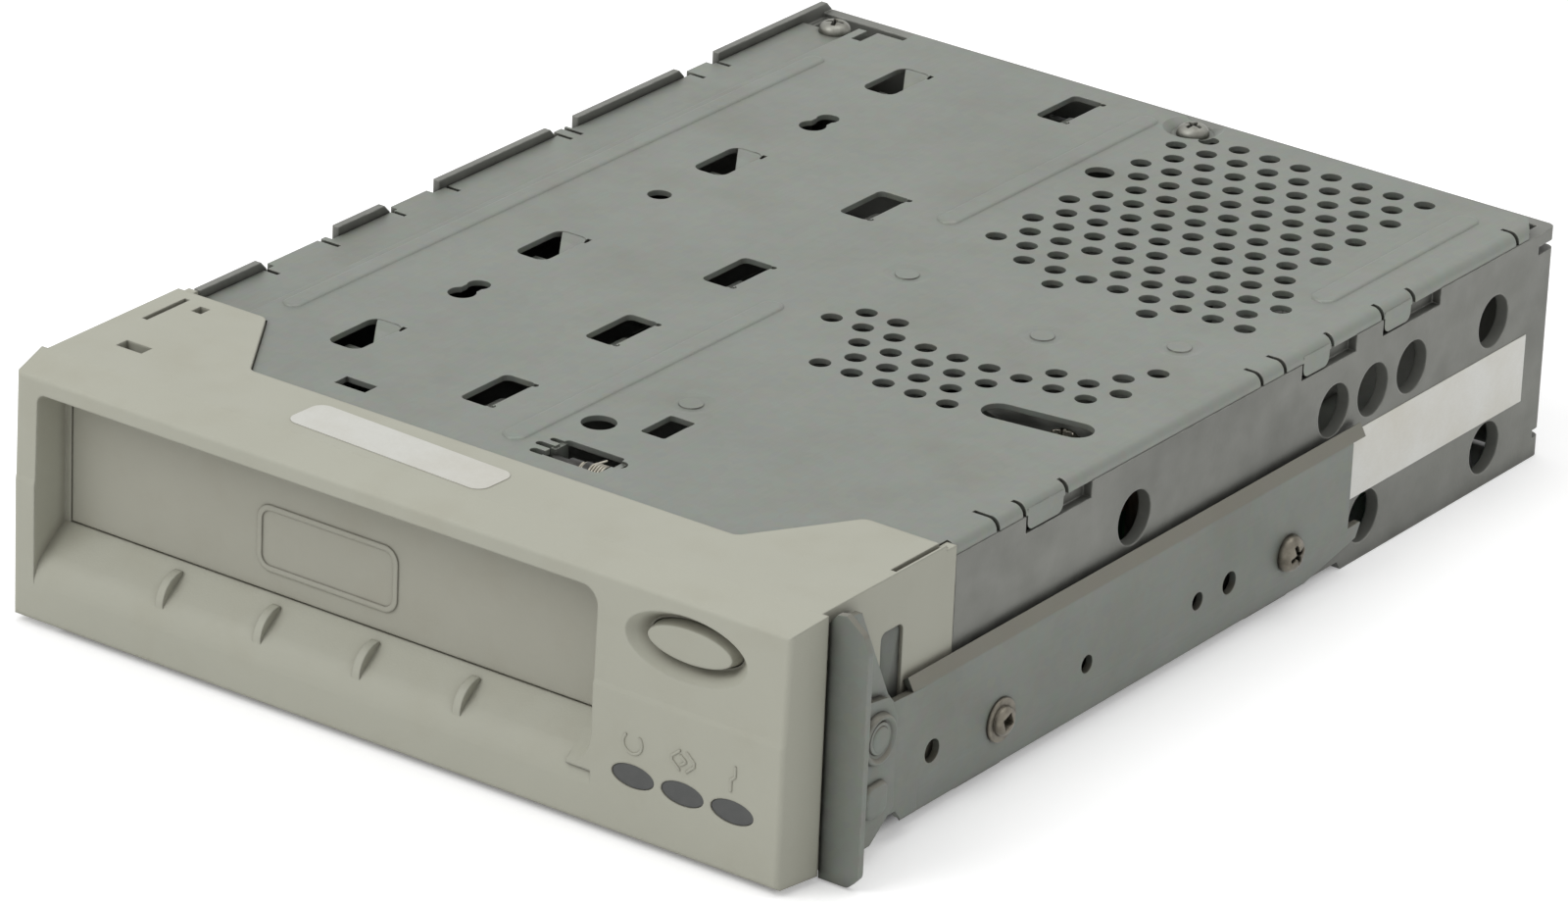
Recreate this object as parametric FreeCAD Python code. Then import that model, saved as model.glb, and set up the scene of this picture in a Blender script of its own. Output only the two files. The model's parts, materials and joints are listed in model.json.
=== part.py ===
import FreeCAD, Part
import math
import os

V = FreeCAD.Vector

# A half-height 5.25 inch data tape drive for a long quarter-inch tape cartridge.
# Millimetres. While the pieces are made, x is 0 on the drive's centre line, y is 0 at
# the bottom of the bezel's front face and grows to the rear, z is 0 on the bench.
# The finished pieces are then shifted to the middle of the drive's base.

# Outer sizes of the cast frame
BODY_HALF = 73.1
FRAME_WALL = 2.3
FRAME_REAR = 212.4
FRAME_FRONT = 12.0
FRAME_TOP = 40.4
SIDE_LIFT = 1.6
SKIRT_LAND = 1.9
DECK_TOP = 15.0
DECK_THICK = 2.0
CORNER_R = 1.6

# The drive bay's hole pattern
HOLE_FIRST_Y = 52.9
HOLE_PITCH_Y = 79.25
SIDE_HOLE_Z = 10.5
BASE_HOLE_X = 69.85
M3_R = 1.5
SCREW_GAP = 0.05

# Cartridge: a steel-based quarter-inch data cartridge
CART_WIDE = 101.6
CART_LONG = 152.4
CART_HIGH = 16.9
CART_GAP = 0.8
CART_BASE = 16.2

# Bezel
BEZEL_BASE = 1.1
BEZEL_INSET = 0.05
BEZEL_HALF = BODY_HALF - BEZEL_INSET
BEZEL_FLARE = 1.45
PLATE_DEPTH = 8.1
KINK_Z = 24.0
KINK_STEP = 0.22
FRONT_TOP = 41.7
FRONT_LEAN = 0.7
BEZEL_TOP = 43.1
BEZEL_WALL = 2.0
SKIRT_SWELL = 0.25
SKIRT_HALF = BODY_HALF + SKIRT_SWELL
SKIRT_REAR = 42.0
SKIRT_WALL = 1.8
SKIRT_WINDOW_TOP = 34.4
TOP_PLATE_REAR = 39.4
TOP_PLATE_MID = 22.0
MID_LEFT = 28.65 - SKIRT_HALF
MID_RIGHT = SKIRT_HALF - 25.75
SLANT_RUN = 11.0

# Cartridge mouth in the bezel
MOUTH_CHEEK = 4.05
MOUTH_PLAY = 5.9
MOUTH_LEFT = MOUTH_CHEEK - BEZEL_HALF
MOUTH_RIGHT = MOUTH_LEFT + CART_WIDE + MOUTH_PLAY
MOUTH_TOP = 39.1
SILL_FRONT_Z = 10.2
SILL_REAR_Z = 15.8
SILL_ROLL = 6.0
SILL_BLEND = 4.5
DOOR_FACE_Y = 7.3
DOOR_LEDGE = 1.2
MOUTH_R = 3.0
RIB_FIRST_X = MOUTH_LEFT + 24.2
RIB_PITCH = 19.17
RIB_COUNT = 4
RIB_THICK = 1.5
RIB_FOOT = (0.9, 10.3)
RIB_MID = (2.2, 13.8)
RIB_END = (5.7, 15.1)

# Door
DOOR_THICK = 2.0
DOOR_GAP = 0.3
DOOR_TOP = 38.0
HINGE_Y = 10.2
HINGE_Z = 37.2
ROD_R = 1.0
ROD_GAP = 0.06
KNUCKLE_R = 2.0
KNUCKLE_LONG = 9.0
BADGE = (-30.8, -3.7, 19.4, 30.4)
BADGE_R = 2.6
BADGE_RIM = 0.9
BADGE_HIGH = 0.25

# Eject button and its dish
BUTTON_X = MOUTH_RIGHT + 16.25
BUTTON_Z = 34.4
DISH_WIDE = 22.6
DISH_HIGH = 10.6
DISH_DEEP = 3.0
BUTTON_WIDE = 16.2
BUTTON_HIGH = 6.1
BUTTON_FACE_WIDE = 15.3
BUTTON_FACE_HIGH = 5.4
BUTTON_FACE_Y = 1.4
BUTTON_GAP = 0.2
BUTTON_TRAVEL = 1.0

# Indicators
LAMP_FIRST_X = MOUTH_RIGHT + 7.85
LAMP_PITCH = 9.05
LAMP_COUNT = 3
LAMP_Z = 11.3
LENS_WIDE = 7.6
LENS_HIGH = 3.6
LENS_GAP = 0.1

# Top cover
SHEET = 1.0
COVER_TOP = 42.5
COVER_INSET = 0.1
COVER_HALF = BODY_HALF - COVER_INSET
FOLD_R = 1.7
COVER_REAR = 207.5
MARGIN_X = -60.0
MARGIN_DROP = 1.9
COVER_GAP = 0.3

# Vent holes: a triangular lattice, two fields of it
VENT_R = 1.75
VENT_PITCH = 6.0

# Rail on the right side
RAIL_STAND = 2.4
RAIL_FACE = BODY_HALF + RAIL_STAND
RAIL_SHEET = 1.2
RAIL_REAR = 149.6
RAIL_TOP = 23.3
RAIL_CREASE = 8.6
RAIL_FOOT = 1.9
RAIL_LIP = 1.5
GUSSET_TOP = 41.5
FLANGE_REACH = 8.1
FLANGE_OUT = BODY_HALF + FLANGE_REACH
FLANGE_Y = 8.9
CLINCH_HIGH = 0.8

# Circuit board under the deck
BOARD_Z = 3.4
BOARD_THICK = 1.6
BOARD_GAP = 0.6

# Capstan, head and loader centres on the deck
CAPSTAN_X = MOUTH_RIGHT + 6.8
CAPSTAN_Y = 84.0
CAPSTAN_SHAFT_R = 2.0
BEARING_GAP = 0.04
ROTOR_R = 12.6
PUCK_R = 9.5
HEAD_Y = 56.0
LEAD_X = MOUTH_RIGHT + 15.5
LEAD_PITCH = 2.0
LEAD_R = 2.0
HEAD_ROD_R = 1.5
BRIDGE_TOP = 38.0
BRIDGE_THICK = 3.0
GEAR_MODULE = 0.8
GEAR_TEETH = 24
PINION_TEETH = 12
GEAR_X = MOUTH_RIGHT + 18.5
GEAR_Y = 146.0
GEAR_Z = 17.2
GEAR_FACE = 4.0
SLIDER_TRAVEL = 18.0


def block(x0, x1, y0, y1, z0, z1):
    """A plain box between two corners."""
    return Part.makeBox(x1 - x0, y1 - y0, z1 - z0, V(x0, y0, z0))


def rod(x, y, z, radius, length, axis=V(0, 0, 1)):
    """A cylinder that starts at a point and runs along an axis."""
    return Part.makeCylinder(radius, length, V(x, y, z), axis)


def sheet_xy(points, z0, z1):
    """An outline in plan, from z0 up to z1."""
    ring = [V(x, y, z0) for x, y in points]
    face = Part.Face(Part.makePolygon(ring + ring[:1]))
    return face.extrude(V(0, 0, z1 - z0))


def sheet_yz(points, x0, x1):
    """An outline seen from the side, from x0 to x1."""
    ring = [V(x0, y, z) for y, z in points]
    face = Part.Face(Part.makePolygon(ring + ring[:1]))
    return face.extrude(V(x1 - x0, 0, 0))


def sheet_xz(points, y0, y1):
    """An outline seen from the front, from y0 to y1."""
    ring = [V(x, y0, z) for x, z in points]
    face = Part.Face(Part.makePolygon(ring + ring[:1]))
    return face.extrude(V(0, y1 - y0, 0))


def fuse(pieces):
    """One solid from several that touch or overlap."""
    whole = pieces[0]
    for piece in pieces[1:]:
        whole = whole.fuse(piece)
    return whole.removeSplitter()


def carve(whole, tools):
    """A solid with each tool cut out of it."""
    for tool in tools:
        whole = whole.cut(tool)
    return whole.removeSplitter()


def soften(shape, radius, pick):
    """The shape with the edges that pick chooses rounded."""
    edges = [edge for edge in shape.Edges if pick(edge)]
    return shape.makeFillet(radius, edges)


def upright(edge, z_min=-1e9):
    """Whether an edge is a straight vertical one above a height."""
    ends = [vertex.Point for vertex in edge.Vertexes]
    if len(ends) != 2 or not isinstance(edge.Curve, Part.Line):
        return False
    flat = abs(ends[0].x - ends[1].x) < 1e-4 and abs(ends[0].y - ends[1].y) < 1e-4
    return flat and min(ends[0].z, ends[1].z) > z_min


def rounded_plate(x0, x1, y0, y1, z0, z1, radius):
    """A plate with its four upright corners rounded."""
    return soften(block(x0, x1, y0, y1, z0, z1), radius, upright)


def oval(x, z, wide, high, y0, y1, wide_far=None, high_far=None):
    """An ellipse seen from the front, from y0 to y1, with its far size if it tapers."""
    def ring(y, w, h):
        ellipse = Part.Ellipse(V(x, y, z), w / 2, h / 2).toShape()
        ellipse.rotate(V(x, y, z), V(1, 0, 0), 90)
        return Part.Wire([ellipse])
    near = ring(y0, wide, high)
    far = ring(y1, wide_far or wide, high_far or high)
    return Part.makeLoft([near, far], True, True)


def pan_screw(x, y, z, toward, head_r, head_high, shank, slot_wide=0.8):
    """A screw with a domed head that stands on the point, its shank going toward."""
    back = V(-toward.x, -toward.y, -toward.z)
    head = Part.makeCone(head_r, head_r * 0.72, head_high, V(x, y, z), back)
    stem = Part.makeCylinder(M3_R - SCREW_GAP, shank, V(x, y, z), toward)
    top = V(x, y, z) + back * (head_high * 0.55)
    side = V(0, 1, 0) if abs(toward.y) < 0.5 else V(1, 0, 0)
    other = back.cross(side)
    cross = []
    for along, across in ((side, other), (other, side)):
        corner = top - along * (head_r * 0.55) - across * (slot_wide / 2)
        ring = [corner, corner + along * (head_r * 1.1)]
        ring += [ring[1] + across * slot_wide, corner + across * slot_wide]
        cross.append(Part.Face(Part.makePolygon(ring + ring[:1])).extrude(back * head_high))
    return carve(fuse([head, stem]), cross)


def coil(x, y, z, radius, wire_r, length, turns, axis):
    """A coil spring: a helix of round wire along an axis."""
    helix = Part.makeHelix(length / turns, length, radius)
    ring = Part.Wire([Part.Circle(V(radius, 0, 0), V(0, 1, 0), wire_r).toShape()])
    spring = Part.Wire(helix.Edges).makePipeShell([ring], True, True)
    spring.Placement = FreeCAD.Placement(V(x, y, z), FreeCAD.Rotation(V(0, 0, 1), axis))
    return spring


# Places that several pieces share
WALL_IN = BODY_HALF - FRAME_WALL
HOLE_ROWS = [HOLE_FIRST_Y, HOLE_FIRST_Y + HOLE_PITCH_Y]
DECK_BASE = DECK_TOP - DECK_THICK
COVER_BASE = COVER_TOP - SHEET
MARGIN_TOP = COVER_TOP - MARGIN_DROP
DOOR_LEFT = MOUTH_LEFT + DOOR_LEDGE
DOOR_RIGHT = MOUTH_RIGHT - DOOR_GAP
BAY_RIGHT = DOOR_RIGHT - 2.6
BAY_LEFT = BAY_RIGHT - CART_WIDE
BAY_FRONT = DOOR_FACE_Y + DOOR_THICK + 1.0
BAY_REAR = BAY_FRONT + CART_LONG
BAY_TOP = CART_BASE + CART_HIGH
DISH_Y = DISH_DEEP + 0.5
BRIDGE_BASE = BRIDGE_TOP - BRIDGE_THICK
RAIL_BACK = RAIL_FACE - RAIL_SHEET
LAMP_XS = [LAMP_FIRST_X + LAMP_PITCH * i for i in range(LAMP_COUNT)]
GEAR_R = GEAR_MODULE * GEAR_TEETH / 2
PINION_R = GEAR_MODULE * PINION_TEETH / 2
RACK_X = GEAR_X - GEAR_R
PINION_Y = GEAR_Y + GEAR_R + PINION_R

# The rear stretch of each side wall reaches down to the bench
REAR_FOOT = [(151.0, SIDE_LIFT), (152.1, 0.0), (FRAME_REAR, 0.0), (FRAME_REAR, 6.0), (151.0, 6.0)]
FLANGE_SHEET = 1.2
FLANGE_TOP = 42.0
FLANGE_RUNS = [(43.0, 58.0), (77.5, 89.3), (103.5, 133.0), (140.5, 168.5), (179.5, 210.8)]
BOSS_R = 3.2
BOSS_DROP = DECK_BASE - BOARD_Z - BOARD_THICK
BOARD_BOSSES = [(-60.0, 24.0), (-60.0, 196.0), (58.0, 196.0), (58.0, 24.0), (-10.0, 110.0)]
DISH_DROP = 1.2
COVER_POSTS = [(-65.3, 203.9, MARGIN_TOP - SHEET), (7.7, 203.9, COVER_BASE - DISH_DROP)]
STATOR_TUBE_R = 5.0
STATOR_R = 19.0
STEPPER_R = 7.5
STEPPER_NOSE_R = 3.5
STATOR_HOLES = [(CAPSTAN_X + 15.5 * math.cos(a), CAPSTAN_Y + 15.5 * math.sin(a))
                for a in (math.radians(30), math.radians(150), math.radians(270))]
BRIDGE_LEGS = [(LEAD_X + 11.4, 40.5), (LEAD_X + 11.4, 105.4), (LEAD_X - 10.8, 105.4), (LEAD_X - 10.8, 40.5)]
BRIDGE_SCREW = (LEAD_X + 4.7, 91.2)
WALL_HOLES = [(72.0, 30.1, 90.5, 4.5), (72.0, 29.3, 146.7, 4.5), (72.0, 29.1, 158.2, 4.5),
              (72.0, 29.3, 169.7, 4.5), (72.0, 29.2, 194.4, 4.5), (72.0, 6.9, 194.5, 4.5),
              (72.0, 7.3, 158.0, 4.5)]
DECK_WINDOWS = [(-48.0, -30.0, 40.0, 90.0), (-48.0, -30.0, 125.0, 165.0), (2.0, 20.0, 122.0, 150.0),
                (MOUTH_RIGHT + 2.7, WALL_IN - 0.8, 11.0, 18.0)]
REAR_PORTS = [(-62.0, 22.0, 1.6, 11.6), (26.0, 50.0, 1.6, 12.4)]
REAR_SLIT = (-24.8, -19.7, 33.9, 34.4)
TAB_NOTCHES = [(60.6, 78.2), (136.4, 152.3), (160.0, 177.2)]
TAB_DEEP = 1.65
TAB_FOOT = 38.1
FLEX_SLOTS = [(55.0, 116.5, 118.5), (-20.0, 186.0, 190.0)]

# The vent fields' first holes and their ragged edges
VENT_X = 9.95
VENT_Y = 153.87
VENT_BLANKS = [(0, 4), (1, -3), (6, -2), (10, 0)]
VENT_EXTRAS = [(6, -4), (12, -4), (16, -2), (16, 0), (17, -3), (17, -1)]
SMALL_X = 9.55
SMALL_Y = 98.96
SMALL_EDGE = [(0, 0), (1, 1), (2, 0), (3, 1), (12, 0), (13, 1), (14, 0), (15, 1), (16, 0),
              (16, 2), (17, 1), (17, 3)]

# Pressed features of the cover
SCOOP_X = -44.2
SCOOP_WIDE = 6.2
SCOOP_LONG = 12.3
SCOOP_YS = [39.65 + 47.35 * i for i in range(4)]
LIP_X = -15.2
LIP_WIDE = 5.9
LIP_LONG = 12.0
LIP_YS = [42.0, 73.3, 103.8, 141.0, 196.8]
TONGUE_DROP = 2.0
TONGUE_FLAT = 6.8
TONGUE_SHEET = 0.8
WINDOW = (13.3, 18.0, 44.0, 52.0)
KEYHOLE_YS = [68.6, 162.4]
KEYHOLE_X = -40.0
KEYHOLE_R = 2.3
KEYHOLE_NECK_R = 1.9
KEYHOLE_RUN = 4.2
ROUND_HOLES = [(-41.0, 121.6, 2.0), (6.7, 42.5, 2.8), (7.2, 177.1, 2.45)]
TUNE_SLOT = (LEAD_X + 2.6, 87.35)
TUNE_SLOT_LONG = 18.8
TUNE_SLOT_WIDE = 6.0
TUNE_SLOT_TURN = 7.6
SPRING_SLOT = (7.0, 18.0, 27.4, 34.4)
SPRING_FINGERS = [(5.6, 28.0, 0.8), (4.6, 30.6, 0.7), (5.4, 33.0, 0.6)]
SPRING_HOOKS = [(6.2, 7.2), (17.8, 18.8)]
SPRING_WIRE = 0.42
SPRING_R = 1.9
SPRING_Y = 30.2
SPRING_TURNS = 5
DISH_R = 4.6
BEADS = [(-2.3, 4.4, 28.5, 98.3), (-1.9, 4.4, 142.0, 203.0), (61.2, 4.8, 155.0, 201.5),
         (-59.0, 3.8, 46.0, 188.3)]
BEAD_HIGH = 0.35
BEAD_BURY = 0.5
BEAD_ROLL = 0.8
DIMPLES = [(12.9, 57.6), (8.3, 121.2), (38.5, 115.0), (57.2, 125.5)]
DIMPLE_R = 4.0
DIMPLE_CORE_R = 1.9
DIMPLE_DEEP = 0.18
EDGE_TABS = [(61.2, 70.6), (137.0, 144.4), (160.6, 168.2)]
EDGE_TAB_BASE = 37.9
LEFT_EDGES = [(61.0, 75.6), (92.4, 101.6), (135.4, 138.8), (171.4, 177.6)]
EDGE_SLITS = [(52.9, 4.6), (59.8, 2.4), (71.0, 1.8), (124.6, 3.4), (131.2, 3.6), (144.8, 1.8), (159.4, 2.2),
              (168.6, 1.8), (199.9, 3.2)]
SLIT_WIDE = 0.9
LEFT_SLITS = [58.4, 73.6, 90.6, 104.6, 134.6, 137.4, 171.2, 178.4]
LEFT_SLIT_LONG = 3.0

# The door's rod
ROD_RIGHT = MOUTH_RIGHT + 2.1
ROD_BEARINGS = [(-SKIRT_HALF + 1, -SKIRT_HALF + SKIRT_WALL + 1.6), (DOOR_RIGHT + 0.7, ROD_RIGHT + 0.6)]

# The upright board behind the bezel's right part
FRONT_BOARD_Y = 13.6
FRONT_BOARD = (MOUTH_RIGHT + 4.0, BEZEL_HALF - 4.45, 4.0, 39.0)
FRONT_BOSSES = [(FRONT_BOARD[0] + 0.3, FRONT_BOARD[0] + 2.7, 4.2, 6.6),
                (FRONT_BOARD[1] - 2.6, FRONT_BOARD[1] - 0.2, 4.2, 6.6),
                (FRONT_BOARD[1] - 2.6, FRONT_BOARD[1] - 0.2, 36.0, 38.6)]
SWITCH_BODY_Y = FRONT_BOARD_Y - 1.9
SWITCH_HIGH = 2.6
SWITCH_FACE = FRONT_BOARD_Y - SWITCH_HIGH

# The rail's front end and its clip
RAIL_LIP_FRONT = 29.5
GUSSET_Y = FLANGE_Y + RAIL_SHEET + 0.1
RAIL_HOLES = [(35.0, 11.9, 1.9), (75.9, 11.4, 1.5), (106.3, 11.2, 1.5), (115.2, 11.2, 1.9)]
CLIP_OUT = RAIL_FACE + RAIL_SHEET
CLINCHES = [(18.4, 20.6, 3.1), (17.6, 10.9, 2.4)]

# The main board, its parts and the rear ports
BOARD = (6.8 - WALL_IN, WALL_IN - 6.4, 17.6, 206.0)
BOARD_TOP = BOARD_Z + BOARD_THICK
CHIPS = [(-52, -28, 60, 84, 2.6), (-48, -34, 100, 114, 1.6), (-20, 2, 60, 82, 2.6), (-30, -12, 128, 140, 1.6),
         (-56, -44, 140, 160, 1.6), (6, 26, 120, 140, 2.0), (32, 52, 132, 150, 2.2), (10, 22, 40, 58, 1.6),
         (-24, -10, 158, 172, 1.6), (4, 18, 160, 172, 1.6)]
UNDER_CHIPS = [(-50, -30, 110, 130), (-18, 4, 132, 152), (14, 30, 84, 96), (-44, -36, 50, 66),
               (34, 46, 160, 172)]
PORT_Y = FRAME_REAR - 0.4
PIN_PITCH = 2.54
PIN_DEEP = 4.5
JUMPER_Y = 168.0

# The cartridge guides and the pawl
GUIDE_FRONT = 34.5
GUIDE_REAR = BAY_REAR + 3.0
SLIDER_PAWL_Y = 124.0

# The head, the capstan motor and the loader
HEAD_RODS = [(LEAD_X - 5.2, HEAD_Y - 8.5), (LEAD_X - 5.2, HEAD_Y + 8.5)]
CARRIAGE_BASE = 21.6
CARRIAGE_TOP = 29.0
HEAD_FACE_X = BAY_RIGHT + 0.9
STATOR_BASE = DECK_BASE - 3.2
ROTOR_BASE = 4.6
PUCK_BASE = 19.4
PUCK_TOP = 28.6
AXLE_R = 1.5
MOTOR_R = 7.6
MOTOR_BASE = 24.4
BRACKET_TOP = 24.2
BRACKET_SHEET = 1.2
BRACKET_LEG_X = WALL_IN - 0.4
PREAMP_Y = 109.4
PREAMP_THICK = 1.2
PREAMP_HIGH = 18.0
SENSOR_Y = 113.6
SENSOR_Z = 24.0

# Labels
LABEL_THICK = 0.12


def base_frame():
    """The cast frame: two side walls, rear wall, deck, mounting pads and ears."""
    walls = []
    for side in (-1, 1):
        land = sorted((side * (BODY_HALF - SKIRT_LAND), side * (WALL_IN - SKIRT_LAND)))
        top = FRAME_TOP if side > 0 else MARGIN_TOP - SHEET
        walls.append(block(*land, FRAME_FRONT, SKIRT_REAR + 3, SIDE_LIFT, top))
        face = sorted((side * BODY_HALF, side * WALL_IN))
        walls.append(block(*face, SKIRT_REAR + 0.5, FRAME_REAR, SIDE_LIFT, top))
        walls.append(sheet_yz(REAR_FOOT, *face))
    rear = block(-BODY_HALF, BODY_HALF, FRAME_REAR - FRAME_WALL, FRAME_REAR, 0, FRAME_TOP)
    deck = block(-WALL_IN - 0.5, WALL_IN + 0.5, FRAME_FRONT, FRAME_REAR - 1, DECK_BASE, DECK_TOP)
    pads = []
    for side in (-1, 1):
        inner, outer = sorted((side * (BASE_HOLE_X - 4.5), side * (BASE_HOLE_X + 2.0)))
        for y in HOLE_ROWS:
            pads.append(block(inner, outer, y - 6, y + 6, 0, DECK_BASE))
    lugs = []
    for y0, y1 in FLANGE_RUNS:
        lug = sheet_yz([(y0, FRAME_TOP - 3), (y1 + 1.4, FRAME_TOP - 3), (y1 + 1.4, MARGIN_TOP),
                        (y1, FLANGE_TOP), (y0, FLANGE_TOP)], -BODY_HALF, -BODY_HALF + FLANGE_SHEET)
        lugs.append(lug)
    bosses = [rod(x, y, DECK_BASE - BOSS_DROP, BOSS_R, BOSS_DROP + 1) for x, y in BOARD_BOSSES]
    seats = [rod(x, y, DECK_TOP - 1, BOSS_R, z - DECK_TOP + 1) for x, y, z in COVER_POSTS]
    whole = fuse(walls + [rear, deck] + pads + lugs + bosses + seats)
    whole = soften(whole, CORNER_R, lambda e: upright(e) and e.Length > 25
                   and min(v.Point.y for v in e.Vertexes) > FRAME_REAR - 0.1
                   and abs(abs(e.Vertexes[0].Point.x) - BODY_HALF) < 0.1)
    cuts = []
    for x, z, y, r in WALL_HOLES:
        cuts.append(rod(x - 3, y, z, r, 6, V(1, 0, 0)))
    for y in HOLE_ROWS:
        cuts.append(rod(-BODY_HALF - 1, y, SIDE_HOLE_Z, M3_R, 12, V(1, 0, 0)))
        cuts.append(rod(BODY_HALF + 1, y, SIDE_HOLE_Z, M3_R, 12, V(-1, 0, 0)))
        for side in (-1, 1):
            cuts.append(rod(side * BASE_HOLE_X, y, -1, M3_R, 8))
    cuts.append(rod(CAPSTAN_X, CAPSTAN_Y, DECK_BASE - 1, STATOR_TUBE_R + 0.3, 5))
    cuts.append(rod(LEAD_X, HEAD_Y, DECK_BASE - 1, STEPPER_NOSE_R + 0.05, 5))
    for x, y in STATOR_HOLES + BRIDGE_LEGS:
        cuts.append(rod(x, y, DECK_BASE - 1, M3_R, 5))
    for x, y in BOARD_BOSSES:
        cuts.append(rod(x, y, DECK_BASE - BOSS_DROP - 1, M3_R, 7))
    for x, y, z in COVER_POSTS:
        cuts.append(rod(x, y, z - 7, M3_R, 8))
    cuts += [block(*window, DECK_BASE - 1, DECK_TOP + 1) for window in DECK_WINDOWS]
    cuts += [block(x0, x1, FRAME_REAR - 4, FRAME_REAR + 1, z0, z1) for x0, x1, z0, z1 in REAR_PORTS]
    x0, x1, z0, z1 = REAR_SLIT
    cuts.append(block(x0, x1, FRAME_REAR - 4, FRAME_REAR + 1, z0, z1))
    for y0, y1 in TAB_NOTCHES:
        cuts.append(block(BODY_HALF - TAB_DEEP, BODY_HALF + 1, y0, y1, TAB_FOOT - 0.5, FRAME_TOP + 1))
    cuts.append(block(BODY_HALF - 4, BODY_HALF + 1, FRAME_REAR - 5.3, FRAME_REAR + 1, 36.7, 38.2))
    cuts.append(block(BODY_HALF - 4, BODY_HALF + 1, FRAME_REAR - 2.6, FRAME_REAR + 1, 3.4, 4.9))
    for x, y0, y1 in FLEX_SLOTS:
        cuts.append(block(x - 7, x + 7, y0, y1, DECK_BASE - 1, DECK_TOP + 1))
    return carve(whole, cuts)


def vent_points():
    """The vent holes' centres: two fields of one triangular lattice, each with a ragged edge."""
    big = [(i, j) for i in range(16) for j in range(-3, 10) if (i + j) % 2 == 0]
    big = [spot for spot in big if spot not in VENT_BLANKS] + VENT_EXTRAS
    small = [(i, j) for i in range(3, 12) for j in range(-3, 1) if (i + j) % 2 == 0] + SMALL_EDGE
    step_x = VENT_PITCH / 2
    step_y = VENT_PITCH * math.sqrt(3) / 2
    points = [(VENT_X + step_x * i, VENT_Y + step_y * j) for i, j in big]
    return points + [(SMALL_X + step_x * i, SMALL_Y + step_y * j) for i, j in small]


def cover_outline():
    """The cover's edge in plan, stepped round the bezel's top plate and its skirts."""
    front = TOP_PLATE_REAR + COVER_GAP
    mid = TOP_PLATE_MID + COVER_GAP
    side = SKIRT_HALF - SKIRT_WALL - 0.2
    rear = SKIRT_REAR + COVER_GAP
    return [(-COVER_HALF, rear), (-side, rear), (-side, front), (MID_LEFT - SLANT_RUN, front), (MID_LEFT, mid),
            (MID_RIGHT, mid), (MID_RIGHT + SLANT_RUN, front), (side, front), (side, rear),
            (COVER_HALF, rear), (COVER_HALF, COVER_REAR - 3.6),
            (COVER_HALF - 2.6, COVER_REAR), (-51.2, COVER_REAR), (-51.2, COVER_REAR - 3.6),
            (-56.4, COVER_REAR - 3.6), (-56.4, COVER_REAR - 8.6), (-58.4, COVER_REAR - 8.6),
            (-58.4, COVER_REAR - 4.0), (-COVER_HALF, COVER_REAR - 4.0)]


def lanced_lip(x0, wide, y0, y1):
    """A lip bent down along the right side of its slot, with a foot that turns in under the slot."""
    root = x0 + wide
    low = COVER_BASE - TONGUE_DROP
    tip = x0 + 0.2
    top = COVER_BASE + 0.7
    return sheet_xz([(root + 0.3, COVER_BASE + 0.1), (root + 0.3, top), (root - 0.5, top), (root - 0.9, low),
                     (tip, low - 0.5), (tip, low - 0.5 - TONGUE_SHEET), (root - 0.2, low - TONGUE_SHEET),
                     (root + 0.2, COVER_BASE + 0.1)], y0, y1)


def scoop_tongue(x0, y0):
    """A tongue that runs down from the rear end of its slot to a flat floor, its left rear corner cut off."""
    x1 = x0 + SCOOP_WIDE
    y1 = y0 + SCOOP_LONG
    low = COVER_BASE - TONGUE_DROP
    flat = y0 + TONGUE_FLAT
    top = COVER_BASE + 0.9
    tongue = sheet_yz([(y1 + 0.3, COVER_BASE + 0.1), (y1 + 0.3, top), (y1 - 0.9, top), (y1 - 2.2, top - 0.6),
                       (flat, low), (y0 - 0.6, low), (y0 - 0.6, low - TONGUE_SHEET),
                       (flat + 0.4, low - TONGUE_SHEET), (y1 - 1.8, COVER_BASE - 0.4)], x0 - 0.6, x1 - 0.1)
    corner = sheet_xy([(x0 - 1, flat), (x0 + 3.9, flat), (x0 + 0.9, y1 - 0.4), (x0 + 0.9, y1 + 1),
                       (x0 - 1, y1 + 1)], low - 2, COVER_TOP + 1)
    return tongue.cut(corner)


def pressed_bead(x, wide, y0, y1):
    """A long raised bead of the sheet with round ends and rolled edges."""
    top = COVER_TOP + BEAD_HIGH
    bead = rounded_plate(x, x + wide, y0, y1, COVER_TOP - BEAD_BURY, top, wide / 2 - 0.01)
    return soften(bead, BEAD_ROLL, lambda e: min(v.Point.z for v in e.Vertexes) > top - 1e-3)


def dimple(x, y):
    """The shallow ring that a weld nib leaves round its core."""
    ring = Part.makeCone(DIMPLE_R - 1.2, DIMPLE_R, DIMPLE_DEEP + 0.01, V(x, y, COVER_TOP - DIMPLE_DEEP))
    return ring.cut(rod(x, y, COVER_TOP - 1, DIMPLE_CORE_R, 2))


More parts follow.
